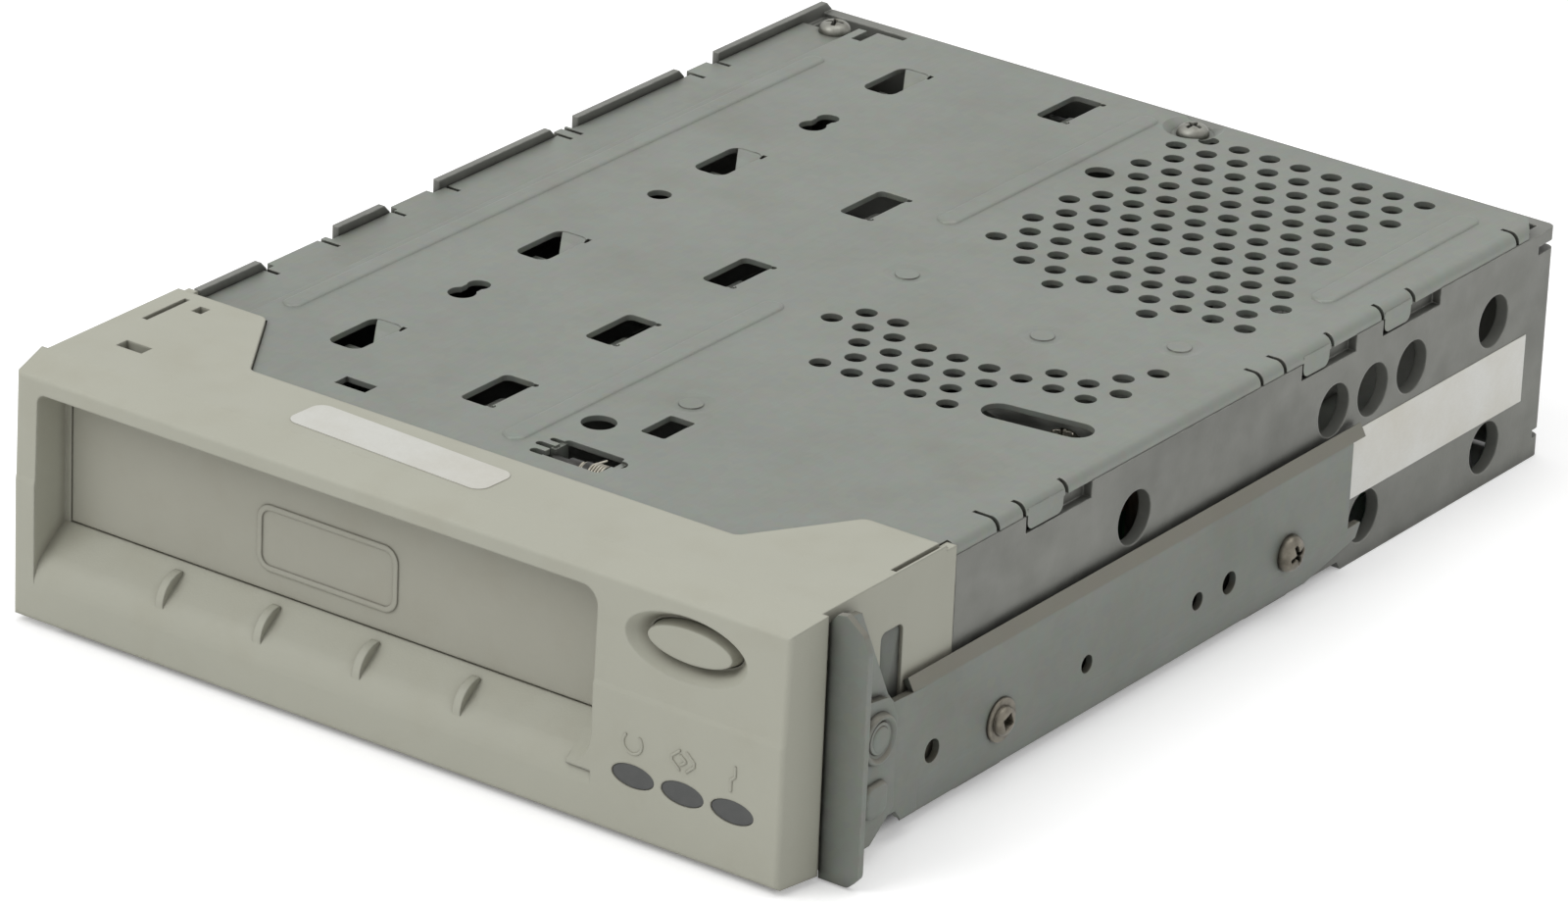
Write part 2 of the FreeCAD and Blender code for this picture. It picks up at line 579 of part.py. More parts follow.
def top_cover():
    """The pressed sheet cover with its lanced slots, vents, beads, margin step and edge tabs."""
    outline = cover_outline()
    main = sheet_xy(outline, COVER_BASE, COVER_TOP)
    main = main.cut(block(-BODY_HALF - 2, MARGIN_X, 0, FRAME_REAR + 5, COVER_BASE - 1, COVER_TOP + 1))
    margin = sheet_xy(outline, MARGIN_TOP - SHEET, MARGIN_TOP)
    keep = block(-BODY_HALF + FLANGE_SHEET + COVER_GAP, MARGIN_X, 0, FRAME_REAR + 5, 30, 50)
    margin = margin.common(keep)
    edges = [block(-COVER_HALF, -BODY_HALF + 3, y0, y1, MARGIN_TOP - SHEET, MARGIN_TOP)
             for y0, y1 in LEFT_EDGES]
    step_front = TOP_PLATE_REAR + COVER_GAP
    step = sheet_xz([(MARGIN_X - 1.2, MARGIN_TOP - SHEET), (MARGIN_X - 1.2, MARGIN_TOP),
                     (MARGIN_X + 0.6, COVER_TOP), (MARGIN_X + 1.6, COVER_TOP),
                     (MARGIN_X + 1.6, COVER_BASE), (MARGIN_X + 0.9, COVER_BASE),
                     (MARGIN_X - 0.5, MARGIN_TOP - SHEET)], step_front, COVER_REAR - 4.0)
    lip = block(COVER_HALF - SHEET, COVER_HALF, SKIRT_REAR + COVER_GAP, COVER_REAR - 3.6,
                FRAME_TOP + 0.05, COVER_TOP)
    whole = fuse([main, margin, step, lip] + edges)
    fold = block(COVER_HALF - FOLD_R, COVER_HALF + 1, 0, FRAME_REAR, COVER_TOP - FOLD_R, COVER_TOP + 1)
    fold = fold.cut(rod(COVER_HALF - FOLD_R, -1, COVER_TOP - FOLD_R, FOLD_R, FRAME_REAR + 2, V(0, 1, 0)))
    whole = whole.cut(fold)
    tabs = []
    for y0, y1 in EDGE_TABS:
        tab = block(COVER_HALF - SHEET, COVER_HALF, y0, y1, EDGE_TAB_BASE, COVER_TOP - 1.0)
        tab = soften(tab, 1.4, lambda e: abs(e.Length - SHEET) < 1e-3
                     and max(v.Point.z for v in e.Vertexes) < EDGE_TAB_BASE + 1e-3)
        tabs.append(tab)
    bumps = [pressed_bead(*bead) for bead in BEADS]
    x, y, z = COVER_POSTS[1]
    dish = Part.makeCone(DISH_R - 0.4, DISH_R + 0.8, COVER_TOP - z - 0.2, V(x, y, z))
    dish = dish.common(block(x - 9, x + 9, y - 9, COVER_REAR, 30, 50))
    hooks = [block(x0, x1, SPRING_Y + 1.0, SPRING_Y + 4.2, COVER_BASE - 3.6, COVER_BASE + 0.5)
             for x0, x1 in SPRING_HOOKS]
    whole = fuse([whole, dish] + tabs + bumps)
    whole = whole.cut(Part.makeCone(DISH_R - 1.1, DISH_R + 0.8, 1.4, V(x, y, z + SHEET)))
    whole = whole.cut(Part.makeCompound([rod(x, y, COVER_BASE - 1, VENT_R, 4) for x, y in vent_points()]))
    cuts = [rod(x, y, COVER_BASE - 1, r, 4) for x, y, r in ROUND_HOLES]
    cuts += [rounded_plate(SCOOP_X, SCOOP_X + SCOOP_WIDE, y, y + SCOOP_LONG, COVER_BASE - 1,
                           COVER_TOP + 1, 1.9) for y in SCOOP_YS]
    cuts += [rounded_plate(LIP_X, LIP_X + LIP_WIDE, y - LIP_LONG / 2, y + LIP_LONG / 2,
                           COVER_BASE - 1, COVER_TOP + 1, 1.2) for y in LIP_YS]
    cuts += [rod(LIP_X + LIP_WIDE + 0.1, y + LIP_LONG / 2 - 0.7, COVER_BASE - 1, 0.6, 4) for y in LIP_YS]
    cuts += [rod(LIP_X + LIP_WIDE, y - LIP_LONG / 2 + 0.7, COVER_BASE - 1, 0.6, 4) for y in LIP_YS]
    cuts.append(rounded_plate(*WINDOW, COVER_BASE - 1, COVER_TOP + 1, 0.6))
    cuts.append(block(-33.0, -27.0, 27.9, 31.1, COVER_BASE - 1, COVER_TOP + 1))
    half_long = TUNE_SLOT_LONG / 2
    half_wide = TUNE_SLOT_WIDE / 2
    tune = rounded_plate(-half_long, half_long, -half_wide, half_wide, COVER_BASE - 1, COVER_TOP + 1, half_wide - 0.01)
    tune.rotate(V(0, 0, 0), V(0, 0, 1), TUNE_SLOT_TURN)
    tune.translate(V(*TUNE_SLOT, 0))
    cuts.append(tune)
    cuts.append(rounded_plate(*SPRING_SLOT, COVER_BASE - 1, COVER_TOP + 1, 0.8))
    for x, y, r in SPRING_FINGERS:
        cuts.append(rod(x, y, COVER_BASE - 1, r, 4))
        cuts.append(block(x, SPRING_SLOT[0] + 0.5, y - r, y + r, COVER_BASE - 1, COVER_TOP + 1))
    cuts.append(rod(18.4, 32.0, COVER_BASE - 1, 1.4, 4))
    for y in KEYHOLE_YS:
        cuts.append(rod(KEYHOLE_X, y, COVER_BASE - 1, KEYHOLE_R, 4))
        cuts.append(rod(KEYHOLE_X + 0.1, y + KEYHOLE_RUN, COVER_BASE - 1, KEYHOLE_NECK_R, 4))
        cuts.append(block(KEYHOLE_X - 1.5, KEYHOLE_X + 1.6, y, y + KEYHOLE_RUN, COVER_BASE - 1, COVER_TOP + 1))
    for x, y, z in COVER_POSTS:
        cuts.append(rod(x, y, COVER_BASE - 4, M3_R + 0.15, 8))
    cuts += [block(COVER_HALF - long, COVER_HALF + 1, y, y + SLIT_WIDE, COVER_BASE - 3, COVER_TOP + 1)
             for y, long in EDGE_SLITS]
    cuts += [block(-BODY_HALF, FLANGE_SHEET + LEFT_SLIT_LONG - BODY_HALF, y, y + SLIT_WIDE, MARGIN_TOP - 2,
                   MARGIN_TOP + 1) for y in LEFT_SLITS]
    cuts += [dimple(x, y) for x, y in DIMPLES]
    whole = carve(whole, cuts)
    lips = [lanced_lip(LIP_X, LIP_WIDE, y - LIP_LONG / 2 + 1.4, y + LIP_LONG / 2 - 1.6) for y in LIP_YS]
    lips.append(lanced_lip(WINDOW[0], WINDOW[1] - WINDOW[0], WINDOW[2] + 1, WINDOW[3] - 1.5))
    lips += [scoop_tongue(SCOOP_X, y) for y in SCOOP_YS]
    root = SCOOP_X + SCOOP_WIDE
    notches = [block(root - 0.4, root + 0.4, y + SCOOP_LONG - 1.9, y + SCOOP_LONG - 0.1, COVER_BASE - 3,
                     COVER_TOP + 1) for y in SCOOP_YS]
    return carve(fuse([whole] + lips + hooks), notches)


def screw_spot(x, y, z, toward, head_r=2.75, head_high=1.8, shank=6.0):
    """A pan-head screw on a face."""
    return pan_screw(x, y, z, toward, head_r, head_high, shank)


def cover_screws():
    """The two screws that hold the cover's rear edge to the frame's posts."""
    down = V(0, 0, -1)
    return Part.makeCompound([screw_spot(x, y, z + SHEET, down) for x, y, z in COVER_POSTS])


def front_bezel():
    """The moulded bezel: front plate, cartridge mouth with sill ribs, button dish and skirt."""
    profile = [(0, BEZEL_BASE), (0, KINK_Z), (KINK_STEP, KINK_Z + 0.9), (FRONT_LEAN, FRONT_TOP),
               (PLATE_DEPTH, BEZEL_TOP), (PLATE_DEPTH, BEZEL_BASE)]
    wide = BEZEL_HALF + BEZEL_FLARE
    plate = sheet_yz(profile, -wide - 1, wide + 1)
    plan = [(-BEZEL_HALF, 0), (BEZEL_HALF, 0), (wide, PLATE_DEPTH), (-wide, PLATE_DEPTH)]
    plate = plate.common(sheet_xy(plan, 0, BEZEL_TOP + 1))
    plate = soften(plate, 0.8, lambda e: max(v.Point.y for v in e.Vertexes) < 1.0
                   and (e.Length < FRONT_TOP or max(v.Point.z for v in e.Vertexes) > FRONT_TOP - 0.1
                        or max(v.Point.z for v in e.Vertexes) < BEZEL_BASE + 0.1))
    top = [(-SKIRT_HALF, PLATE_DEPTH), (SKIRT_HALF, PLATE_DEPTH), (SKIRT_HALF, TOP_PLATE_REAR),
           (MID_RIGHT + SLANT_RUN, TOP_PLATE_REAR), (MID_RIGHT, TOP_PLATE_MID),
           (MID_LEFT, TOP_PLATE_MID), (MID_LEFT - SLANT_RUN, TOP_PLATE_REAR),
           (-SKIRT_HALF, TOP_PLATE_REAR)]
    lid = sheet_xy(top, COVER_BASE - 0.3, BEZEL_TOP)
    lid = soften(lid, 1.8, lambda e: upright(e) and abs(e.Vertexes[0].Point.x) < SKIRT_HALF - 1
                 and e.Vertexes[0].Point.y > PLATE_DEPTH + 1)
    skirts = []
    for side in (-1, 1):
        face = sorted((side * SKIRT_HALF, side * (SKIRT_HALF - SKIRT_WALL)))
        skirts.append(sheet_yz([(PLATE_DEPTH - 1, BEZEL_BASE), (20.0, BEZEL_BASE), (30.0, 7.0),
                                (SKIRT_REAR, 7.0), (SKIRT_REAR, COVER_TOP - 0.2),
                                (TOP_PLATE_REAR, COVER_TOP - 0.2), (TOP_PLATE_REAR, BEZEL_TOP),
                                (PLATE_DEPTH, BEZEL_TOP), (PLATE_DEPTH - 1, BEZEL_TOP - 0.4)], *face))
    floor = block(-SKIRT_HALF, SKIRT_HALF, PLATE_DEPTH - 1, FRAME_FRONT - 0.4, BEZEL_BASE,
                  BEZEL_BASE + BEZEL_WALL)
    shelf = block(MOUTH_LEFT, MOUTH_RIGHT, PLATE_DEPTH - 1, FRAME_FRONT - 0.3, DECK_BASE, DECK_TOP)
    tongue = block(MID_LEFT + 2, MID_RIGHT - 2, PLATE_DEPTH + 6, TOP_PLATE_MID + 3.5,
                   COVER_BASE - 1.6, COVER_BASE - 0.1)
    bearings = [block(x0, x1, PLATE_DEPTH - 1, FRAME_FRONT - 0.2, HINGE_Z - 4.5, COVER_BASE)
                for x0, x1 in ROD_BEARINGS]
    collar = oval(BUTTON_X, BUTTON_Z, BUTTON_WIDE + 4, BUTTON_HIGH + 4, 2.0, DISH_Y + 3.0)
    hollow_right = block(MOUTH_RIGHT + 2.1, BEZEL_HALF - BEZEL_WALL, 2.4, PLATE_DEPTH + 1,
                         BEZEL_BASE + BEZEL_WALL, FRONT_TOP - 1.6)
    hollow_low = sheet_yz([(2.4, BEZEL_BASE + BEZEL_WALL), (PLATE_DEPTH + 1, BEZEL_BASE + BEZEL_WALL),
                           (PLATE_DEPTH + 1, DECK_BASE), (6.2, DECK_BASE), (2.4, SILL_FRONT_Z - 1.6)],
                          -BEZEL_HALF + BEZEL_WALL, MOUTH_RIGHT + 2.2)
    mouth = mouth_tool()
    gate = block(DOOR_LEFT, DOOR_RIGHT + DOOR_GAP, 1, PLATE_DEPTH + 8, SILL_REAR_Z, DOOR_TOP + DOOR_GAP)
    bosses = [block(x0, x1, 2.0, FRONT_BOARD_Y, z0, z1) for x0, x1, z0, z1 in FRONT_BOSSES]
    whole = fuse([plate.cut(hollow_right).cut(hollow_low), lid, floor, shelf, tongue,
                  collar] + skirts + bearings + bosses)
    slots = [block(MOUTH_LEFT - 1, MOUTH_LEFT, 26.6, 37.0, 40, 45),
             block(BEZEL_HALF - 1.1, BEZEL_HALF - 0.15, 27.0, TOP_PLATE_REAR + 1, 40.5, 45),
             block(MOUTH_LEFT + 2.8, MOUTH_LEFT + 7.8, 15.9, 18.5, 40, 45),
             block(MOUTH_LEFT + 2.9, MOUTH_LEFT + 4.8, 33.8, 36.1, 40, 45)]
    for side in (-1, 1):
        face = sorted((side * (SKIRT_HALF + 1), side * (SKIRT_HALF - SKIRT_WALL - 1)))
        slot = block(*face, 23.3, 28.9, 16.0, SKIRT_WINDOW_TOP)
        slots.append(soften(slot, 1.2, lambda e: min(v.Point.z for v in e.Vertexes) > SKIRT_WINDOW_TOP - 0.1
                            and abs(e.Vertexes[0].Point.x - e.Vertexes[-1].Point.x) > 1))
    dish = oval(BUTTON_X, BUTTON_Z, DISH_WIDE, DISH_HIGH, 0.2, DISH_Y, BUTTON_WIDE + 1.0, BUTTON_HIGH + 1.0)
    dish = dish.fuse(oval(BUTTON_X, BUTTON_Z, DISH_WIDE, DISH_HIGH, -1, 0.25))
    well = oval(BUTTON_X, BUTTON_Z, BUTTON_WIDE + 2 * BUTTON_GAP, BUTTON_HIGH + 2 * BUTTON_GAP, 2,
                DISH_Y + 4)
    lenses = [oval(x, LAMP_Z, LENS_WIDE + 2 * LENS_GAP, LENS_HIGH + 2 * LENS_GAP, -1, 4) for x in LAMP_XS]
    pivot = rod(-SKIRT_HALF + SKIRT_WALL, HINGE_Y, HINGE_Z, ROD_R + 0.02,
                ROD_RIGHT + SKIRT_HALF - SKIRT_WALL, V(1, 0, 0))
    whole = carve(whole, [mouth, gate, dish, well, pivot] + lenses + slots)
    ribs = []
    for i in range(RIB_COUNT):
        x = RIB_FIRST_X + RIB_PITCH * i
        foot = V(x, *RIB_FOOT)
        end = V(x, *RIB_END)
        arc = Part.Arc(foot, V(x, *RIB_MID), end)
        chord = Part.makePolygon([end, V(x, end.y + 0.4, end.z - 1.5), V(x, foot.y + 0.9, foot.z - 0.6), foot])
        face = Part.Face(Part.Wire([arc.toShape()] + chord.Edges))
        face.translate(V(-RIB_THICK / 2, 0, 0))
        ribs.append(face.extrude(V(RIB_THICK, 0, 0)))
    return fuse([whole, sill_blend()] + ribs)


def mouth_tool():
    """The space of the mouth: a sloped sill that rolls over into the front face, and round top corners."""
    slope = math.atan2(SILL_REAR_Z - SILL_FRONT_Z, DOOR_FACE_Y)
    run = SILL_ROLL * math.tan((math.pi / 2 - slope) / 2)
    centre = V(MOUTH_LEFT, SILL_ROLL, SILL_FRONT_Z - run)
    start = V(MOUTH_LEFT, 0, centre.z)
    end = centre + V(0, -math.sin(slope), math.cos(slope)) * SILL_ROLL
    half = (math.pi / 2 + slope) / 2
    middle = centre + V(0, -math.sin(half), math.cos(half)) * SILL_ROLL
    roll = Part.Arc(start, middle, end).toShape()
    rest = Part.makePolygon([end, V(MOUTH_LEFT, DOOR_FACE_Y, SILL_REAR_Z), V(MOUTH_LEFT, DOOR_FACE_Y, MOUTH_TOP),
                             V(MOUTH_LEFT, -1, MOUTH_TOP), V(MOUTH_LEFT, -1, start.z), start])
    space = Part.Face(Part.Wire([roll] + rest.Edges)).extrude(V(MOUTH_RIGHT - MOUTH_LEFT, 0, 0))
    for x, radius in ((MOUTH_LEFT, MOUTH_R / 2), (MOUTH_RIGHT, MOUTH_R)):
        space = soften(space, radius, lambda e, at=x: min(v.Point.z for v in e.Vertexes) > MOUTH_TOP - 0.1
                       and max(abs(v.Point.x - at) for v in e.Vertexes) < 1e-3)
    return space


def sill_blend():
    """The hollow curve that lifts the sill's right end up to the front face."""
    slope = math.degrees(math.atan2(SILL_REAR_Z - SILL_FRONT_Z, DOOR_FACE_Y))
    corner = V(MOUTH_RIGHT, 0, SILL_FRONT_Z)
    wedge = block(-SILL_BLEND, 0.5, -6, 20, -0.4, SILL_BLEND)
    wedge = wedge.cut(rod(-SILL_BLEND, -7, SILL_BLEND, SILL_BLEND, 30, V(0, 1, 0)))
    wedge.rotate(V(0, 0, 0), V(1, 0, 0), slope)
    wedge.translate(corner)
    return wedge.common(block(corner.x - 9, corner.x + 9, 0, DOOR_FACE_Y, BEZEL_BASE + 5, SILL_REAR_Z))


def cartridge_door():
    """The flap behind the mouth, with a back rib, a plain raised badge field and three knuckles."""
    left = DOOR_LEFT + DOOR_GAP
    right = DOOR_RIGHT
    panel = block(left, right, DOOR_FACE_Y, DOOR_FACE_Y + DOOR_THICK, SILL_REAR_Z + DOOR_GAP, DOOR_TOP)
    panel = soften(panel, 0.6, lambda e: e.Length > 50 and e.Vertexes[0].Point.z > DOOR_TOP - 0.1)
    x0, x1, z0, z1 = BADGE
    ring = rounded_plate(x0, x1, z0, z1, 0, 1, BADGE_R)
    ring = ring.cut(rounded_plate(x0 + BADGE_RIM, x1 - BADGE_RIM, z0 + BADGE_RIM, z1 - BADGE_RIM, -1, 2,
                                  BADGE_R - BADGE_RIM))
    ring.rotate(V(0, 0, 0), V(1, 0, 0), 90)
    ring.translate(V(0, DOOR_FACE_Y + 1 - BADGE_HIGH, 0))
    ribs = [block(left + 1, right - 1, DOOR_FACE_Y + 1, DOOR_FACE_Y + DOOR_THICK + 0.9, 18.0, 19.2)]
    knuckles = []
    for x in (left + 3, (left + right - KNUCKLE_LONG) / 2, right - 3 - KNUCKLE_LONG):
        knuckles.append(rod(x, HINGE_Y, HINGE_Z, KNUCKLE_R, KNUCKLE_LONG, V(1, 0, 0)))
        knuckles.append(block(x, x + KNUCKLE_LONG, DOOR_FACE_Y + 1, HINGE_Y, HINGE_Z - KNUCKLE_R, HINGE_Z))
    whole = fuse([panel, ring] + ribs + knuckles)
    clear = block(left - 1, right + 1, DOOR_FACE_Y - 0.6, DOOR_FACE_Y, DOOR_TOP - 0.1, DOOR_TOP + 1)
    bore = rod(left - 1, HINGE_Y, HINGE_Z, ROD_R + ROD_GAP, right - left + 2, V(1, 0, 0))
    return carve(whole, [clear, bore])


def door_hinge_rod():
    """The steel rod that the door swings on, held in the bezel's two bearings."""
    start = -SKIRT_HALF + SKIRT_WALL
    return rod(start, HINGE_Y, HINGE_Z, ROD_R, ROD_RIGHT - start, V(1, 0, 0))


def door_spring():
    """The torsion spring round the rod's left end, with one leg behind the door."""
    x = DOOR_LEFT - 1.85
    turns = coil(x, HINGE_Y, HINGE_Z, 1.45, 0.22, 1.9, 3.5, V(1, 0, 0))
    leg = rod(x + 1.8, HINGE_Y - 0.1, HINGE_Z - 1.4, 0.22, 4.0, V(0.3, -0.14, -1))
    return fuse([turns, leg])


def eject_button():
    """The oval button, domed face, with a flange behind the bezel and a stem to the switch."""
    face = oval(BUTTON_X, BUTTON_Z, BUTTON_FACE_WIDE, BUTTON_FACE_HIGH, BUTTON_FACE_Y,
                DISH_Y, BUTTON_WIDE, BUTTON_HIGH)
    body = oval(BUTTON_X, BUTTON_Z, BUTTON_WIDE, BUTTON_HIGH, DISH_Y, DISH_Y + 3.4)
    flange = oval(BUTTON_X, BUTTON_Z, BUTTON_WIDE + 2.4, BUTTON_HIGH + 2.4, DISH_Y + 3.3, DISH_Y + 4.3)
    stem = rod(BUTTON_X, DISH_Y + 4.2, BUTTON_Z, 1.4, SWITCH_FACE - DISH_Y - 4.2 - BUTTON_TRAVEL - 0.15,
               V(0, 1, 0))
    return fuse([face, body, flange, stem])


def button_spring():
    """The small coil that returns the button."""
    start = DISH_Y + 4.6
    return coil(BUTTON_X, start, BUTTON_Z, 2.3, 0.25, SWITCH_BODY_Y - start - 0.3, 2.5, V(0, 1, 0))


def indicator_lenses():
    """Three oval lens caps with light pipes behind them."""
    caps = []
    for x in LAMP_XS:
        cap = oval(x, LAMP_Z, LENS_WIDE, LENS_HIGH, 0.15, 3.4)
        pipe = rod(x, 3.3, LAMP_Z, 1.5, FRONT_BOARD_Y - 2.2 - 3.3 - 0.1, V(0, 1, 0))
        rim = oval(x, LAMP_Z, LENS_WIDE + 1.4, LENS_HIGH + 1.4, 2.45, 3.4)
        caps.append(fuse([cap, rim, pipe]))
    return Part.makeCompound(caps)


def front_board():
    """The upright circuit board that carries the lamps and the eject switch."""
    x0, x1, z0, z1 = FRONT_BOARD
    return block(x0, x1, FRONT_BOARD_Y, FRONT_BOARD_Y + BOARD_THICK, z0, z1)


def indicator_lamps():
    """Three lamps on the front board, each a base and a domed cap."""
    lamps = []
    for x in LAMP_XS:
        base = block(x - 1.6, x + 1.6, FRONT_BOARD_Y - 1.2, FRONT_BOARD_Y, LAMP_Z - 1.4, LAMP_Z + 1.4)
        cap = rod(x, FRONT_BOARD_Y - 2.2, LAMP_Z, 1.1, 1.1, V(0, 1, 0))
        lamps.append(fuse([base, cap]))
    return Part.makeCompound(lamps)


def eject_switch():
    """The tactile switch behind the button, with its plunger."""
    body = block(BUTTON_X - 3, BUTTON_X + 3, SWITCH_BODY_Y, FRONT_BOARD_Y, BUTTON_Z - 3, BUTTON_Z + 3)
    frame = rod(BUTTON_X, SWITCH_FACE, BUTTON_Z, 1.2, 1.0, V(0, 1, 0))
    return fuse([body, frame])


def front_board_cable():
    """The flat strip from the front board's lower edge to the main board."""
    y = FRONT_BOARD_Y + BOARD_THICK
    strip = [(y, 8.6), (y + 0.4, 8.6), (y + 0.4, 8.0), (y + 4.0, BOARD_TOP + 0.4), (y + 9.0, BOARD_TOP + 0.4),
             (y + 9.0, BOARD_TOP), (y + 3.8, BOARD_TOP), (y, 7.6)]
    return sheet_yz(strip, MOUTH_RIGHT + 5.5, MOUTH_RIGHT + 15.5)


def right_rail():
    """The pressed slide rail: web, inward lips along its top and foot, and the front gusset."""
    wall = BODY_HALF + 0.3
    t = RAIL_SHEET
    section = [(wall, RAIL_TOP + RAIL_LIP), (RAIL_BACK, RAIL_TOP + 0.3), (RAIL_BACK, RAIL_CREASE),
               (wall, RAIL_FOOT + 0.6), (wall + 0.5, RAIL_FOOT), (RAIL_FACE, RAIL_CREASE - 0.3),
               (RAIL_FACE, RAIL_TOP), (wall + 0.9, RAIL_TOP + RAIL_LIP + 0.7)]
    channel = sheet_xz(section, RAIL_LIP_FRONT, RAIL_REAR + 3.6)
    channel = soften(channel, 1.0, lambda e: e.Length > 90 and min(v.Point.z for v in e.Vertexes) > RAIL_TOP - 0.01
                     and max(v.Point.x for v in e.Vertexes) > RAIL_FACE - 0.01)
    trims = [block(RAIL_BACK - 0.4, RAIL_FACE + 1, RAIL_REAR, RAIL_REAR + 5, RAIL_CREASE, RAIL_TOP + 0.1),
             sheet_yz([(RAIL_REAR - 12, -1), (RAIL_REAR - 9.6, RAIL_FOOT), (RAIL_REAR + 5, RAIL_CREASE - 2.6),
                       (RAIL_REAR + 5, -1)], wall - 1, RAIL_FACE + 1)]
    channel = carve(channel, trims)
    front = [(GUSSET_Y, RAIL_FOOT + 3.4), (26.0, RAIL_FOOT + 3.4), (RAIL_LIP_FRONT - 2, RAIL_FOOT + 1.6),
             (RAIL_LIP_FRONT + 2, RAIL_FOOT + 1.6), (RAIL_LIP_FRONT + 2, RAIL_CREASE),
             (RAIL_LIP_FRONT + 3, RAIL_TOP), (24.5, RAIL_TOP + 0.4), (22.7, RAIL_TOP + 2.4),
             (GUSSET_Y + 4.8, GUSSET_TOP), (GUSSET_Y, GUSSET_TOP + 0.6)]
    gusset = sheet_yz(front, RAIL_BACK, RAIL_FACE)
    whole = fuse([channel, gusset])
    bosses = []
    for y in HOLE_ROWS:
        bosses.append(rod(BODY_HALF, y, SIDE_HOLE_Z, 3.4, RAIL_BACK - BODY_HALF + 0.2, V(1, 0, 0)))
    whole = fuse([whole] + bosses)
    cuts = [rod(BODY_HALF - 1, y, z, r, 5, V(1, 0, 0)) for y, z, r in RAIL_HOLES]
    cuts += [rod(BODY_HALF - 1, y, SIDE_HOLE_Z, M3_R + 0.1, 5, V(1, 0, 0)) for y in HOLE_ROWS]
    return carve(whole, cuts)


def rail_clip():
    """The clip clinched to the rail's front: a leg over the web and a flange across the bay's face."""
    leg = sheet_yz([(FLANGE_Y, 3.0), (18.0, 3.0), (23.7, 7.4), (23.7, 22.4), (21.6, 26.0), (FLANGE_Y, 27.8)],
                   RAIL_FACE, CLIP_OUT)
    leg = soften(leg, 2.0, lambda e: abs(e.Length - RAIL_SHEET) < 1e-3
                 and 20 < e.Vertexes[0].Point.y < 24 and e.Vertexes[0].Point.z > 20)
    root = SKIRT_HALF + 0.7
    outline = [(root, 0.4), (FLANGE_OUT - 1.8, 0.4), (FLANGE_OUT, 2.4), (FLANGE_OUT, 38.4),
               (FLANGE_OUT - 1.0, 41.2), (FLANGE_OUT - 4.2, 43.6), (root + 1.4, 43.3), (root, 41.6)]
    flange = sheet_xz(outline, FLANGE_Y, FLANGE_Y + RAIL_SHEET)
    flange = soften(flange, 1.5, lambda e: abs(e.Length - RAIL_SHEET) < 1e-3
                    and e.Vertexes[0].Point.x > FLANGE_OUT - 3.5)
    whole = fuse([leg, flange])
    for y, z, r in CLINCHES:
        whole = whole.fuse(Part.makeCone(r, r - 0.6, CLINCH_HIGH, V(CLIP_OUT, y, z), V(1, 0, 0)))
        whole = whole.cut(rod(CLIP_OUT + 0.1, y, z, r - 1.1, 1, V(1, 0, 0)))
    return whole


def rail_screw_front():
    """The rail's front screw: a broad washer head with a square socket."""
    y = HOLE_ROWS[0]
    head = rod(RAIL_FACE, y, SIDE_HOLE_Z, 3.6, 0.5, V(1, 0, 0))
    cap = Part.makeCone(2.5, 1.9, 1.2, V(RAIL_FACE + 0.4, y, SIDE_HOLE_Z), V(1, 0, 0))
    shank = rod(RAIL_FACE + 0.1, y, SIDE_HOLE_Z, M3_R - SCREW_GAP, 6.0, V(-1, 0, 0))
    socket = block(RAIL_FACE + 0.8, RAIL_FACE + 3, y - 1, y + 1, SIDE_HOLE_Z - 1, SIDE_HOLE_Z + 1)
    socket.rotate(V(RAIL_FACE, y, SIDE_HOLE_Z), V(1, 0, 0), 20)
    return fuse([head, cap, shank]).cut(socket)


def rail_screw_rear():
    """The rail's rear screw: a pan head with a cross slot."""
    return screw_spot(RAIL_FACE, HOLE_ROWS[1], SIDE_HOLE_Z, V(-1, 0, 0), 3.1, 2.0)


def main_board():
    """The controller board under the deck, cut away round the capstan motor and the stepper."""
    x0, x1, y0, y1 = BOARD
    whole = rounded_plate(x0, x1, y0, y1, BOARD_Z, BOARD_TOP, 2.0)
    cuts = [rod(CAPSTAN_X, CAPSTAN_Y, BOARD_Z - 1, ROTOR_R + 2.0, 4),
            block(CAPSTAN_X, x1 + 1, CAPSTAN_Y - 12, CAPSTAN_Y + 12, BOARD_Z - 1, BOARD_TOP + 1),
            block(LEAD_X - STEPPER_R - 1, x1 + 1, HEAD_Y - STEPPER_R - 1, HEAD_Y + STEPPER_R + 1,
                  BOARD_Z - 1, BOARD_TOP + 1)]
    cuts += [rod(x, y, BOARD_Z - 1, M3_R + 0.1, 4) for x, y in BOARD_BOSSES]
    return carve(whole, cuts)


def board_screws():
    """Five screws that hold the main board up against the frame's bosses."""
    return Part.makeCompound([screw_spot(x, y, BOARD_Z, V(0, 0, 1), 2.8, 1.7, 5.5)
                              for x, y in BOARD_BOSSES])


def board_components():
    """Chips, capacitors and a crystal soldered to both faces of the main board."""
    pieces = [block(x0, x1, y0, y1, BOARD_TOP, BOARD_TOP + high) for x0, x1, y0, y1, high in CHIPS]
    pieces += [block(x0, x1, y0, y1, BOARD_Z - 1.6, BOARD_Z) for x0, x1, y0, y1 in UNDER_CHIPS]
    pieces += [rod(x, 184.0, BOARD_TOP, 3.1, 7.0) for x in (26.5, 34.5, 42.5)]
    pieces.append(block(-34, -24, 148, 152.5, BOARD_TOP, BOARD_TOP + 3.6))
    return Part.makeCompound(pieces)


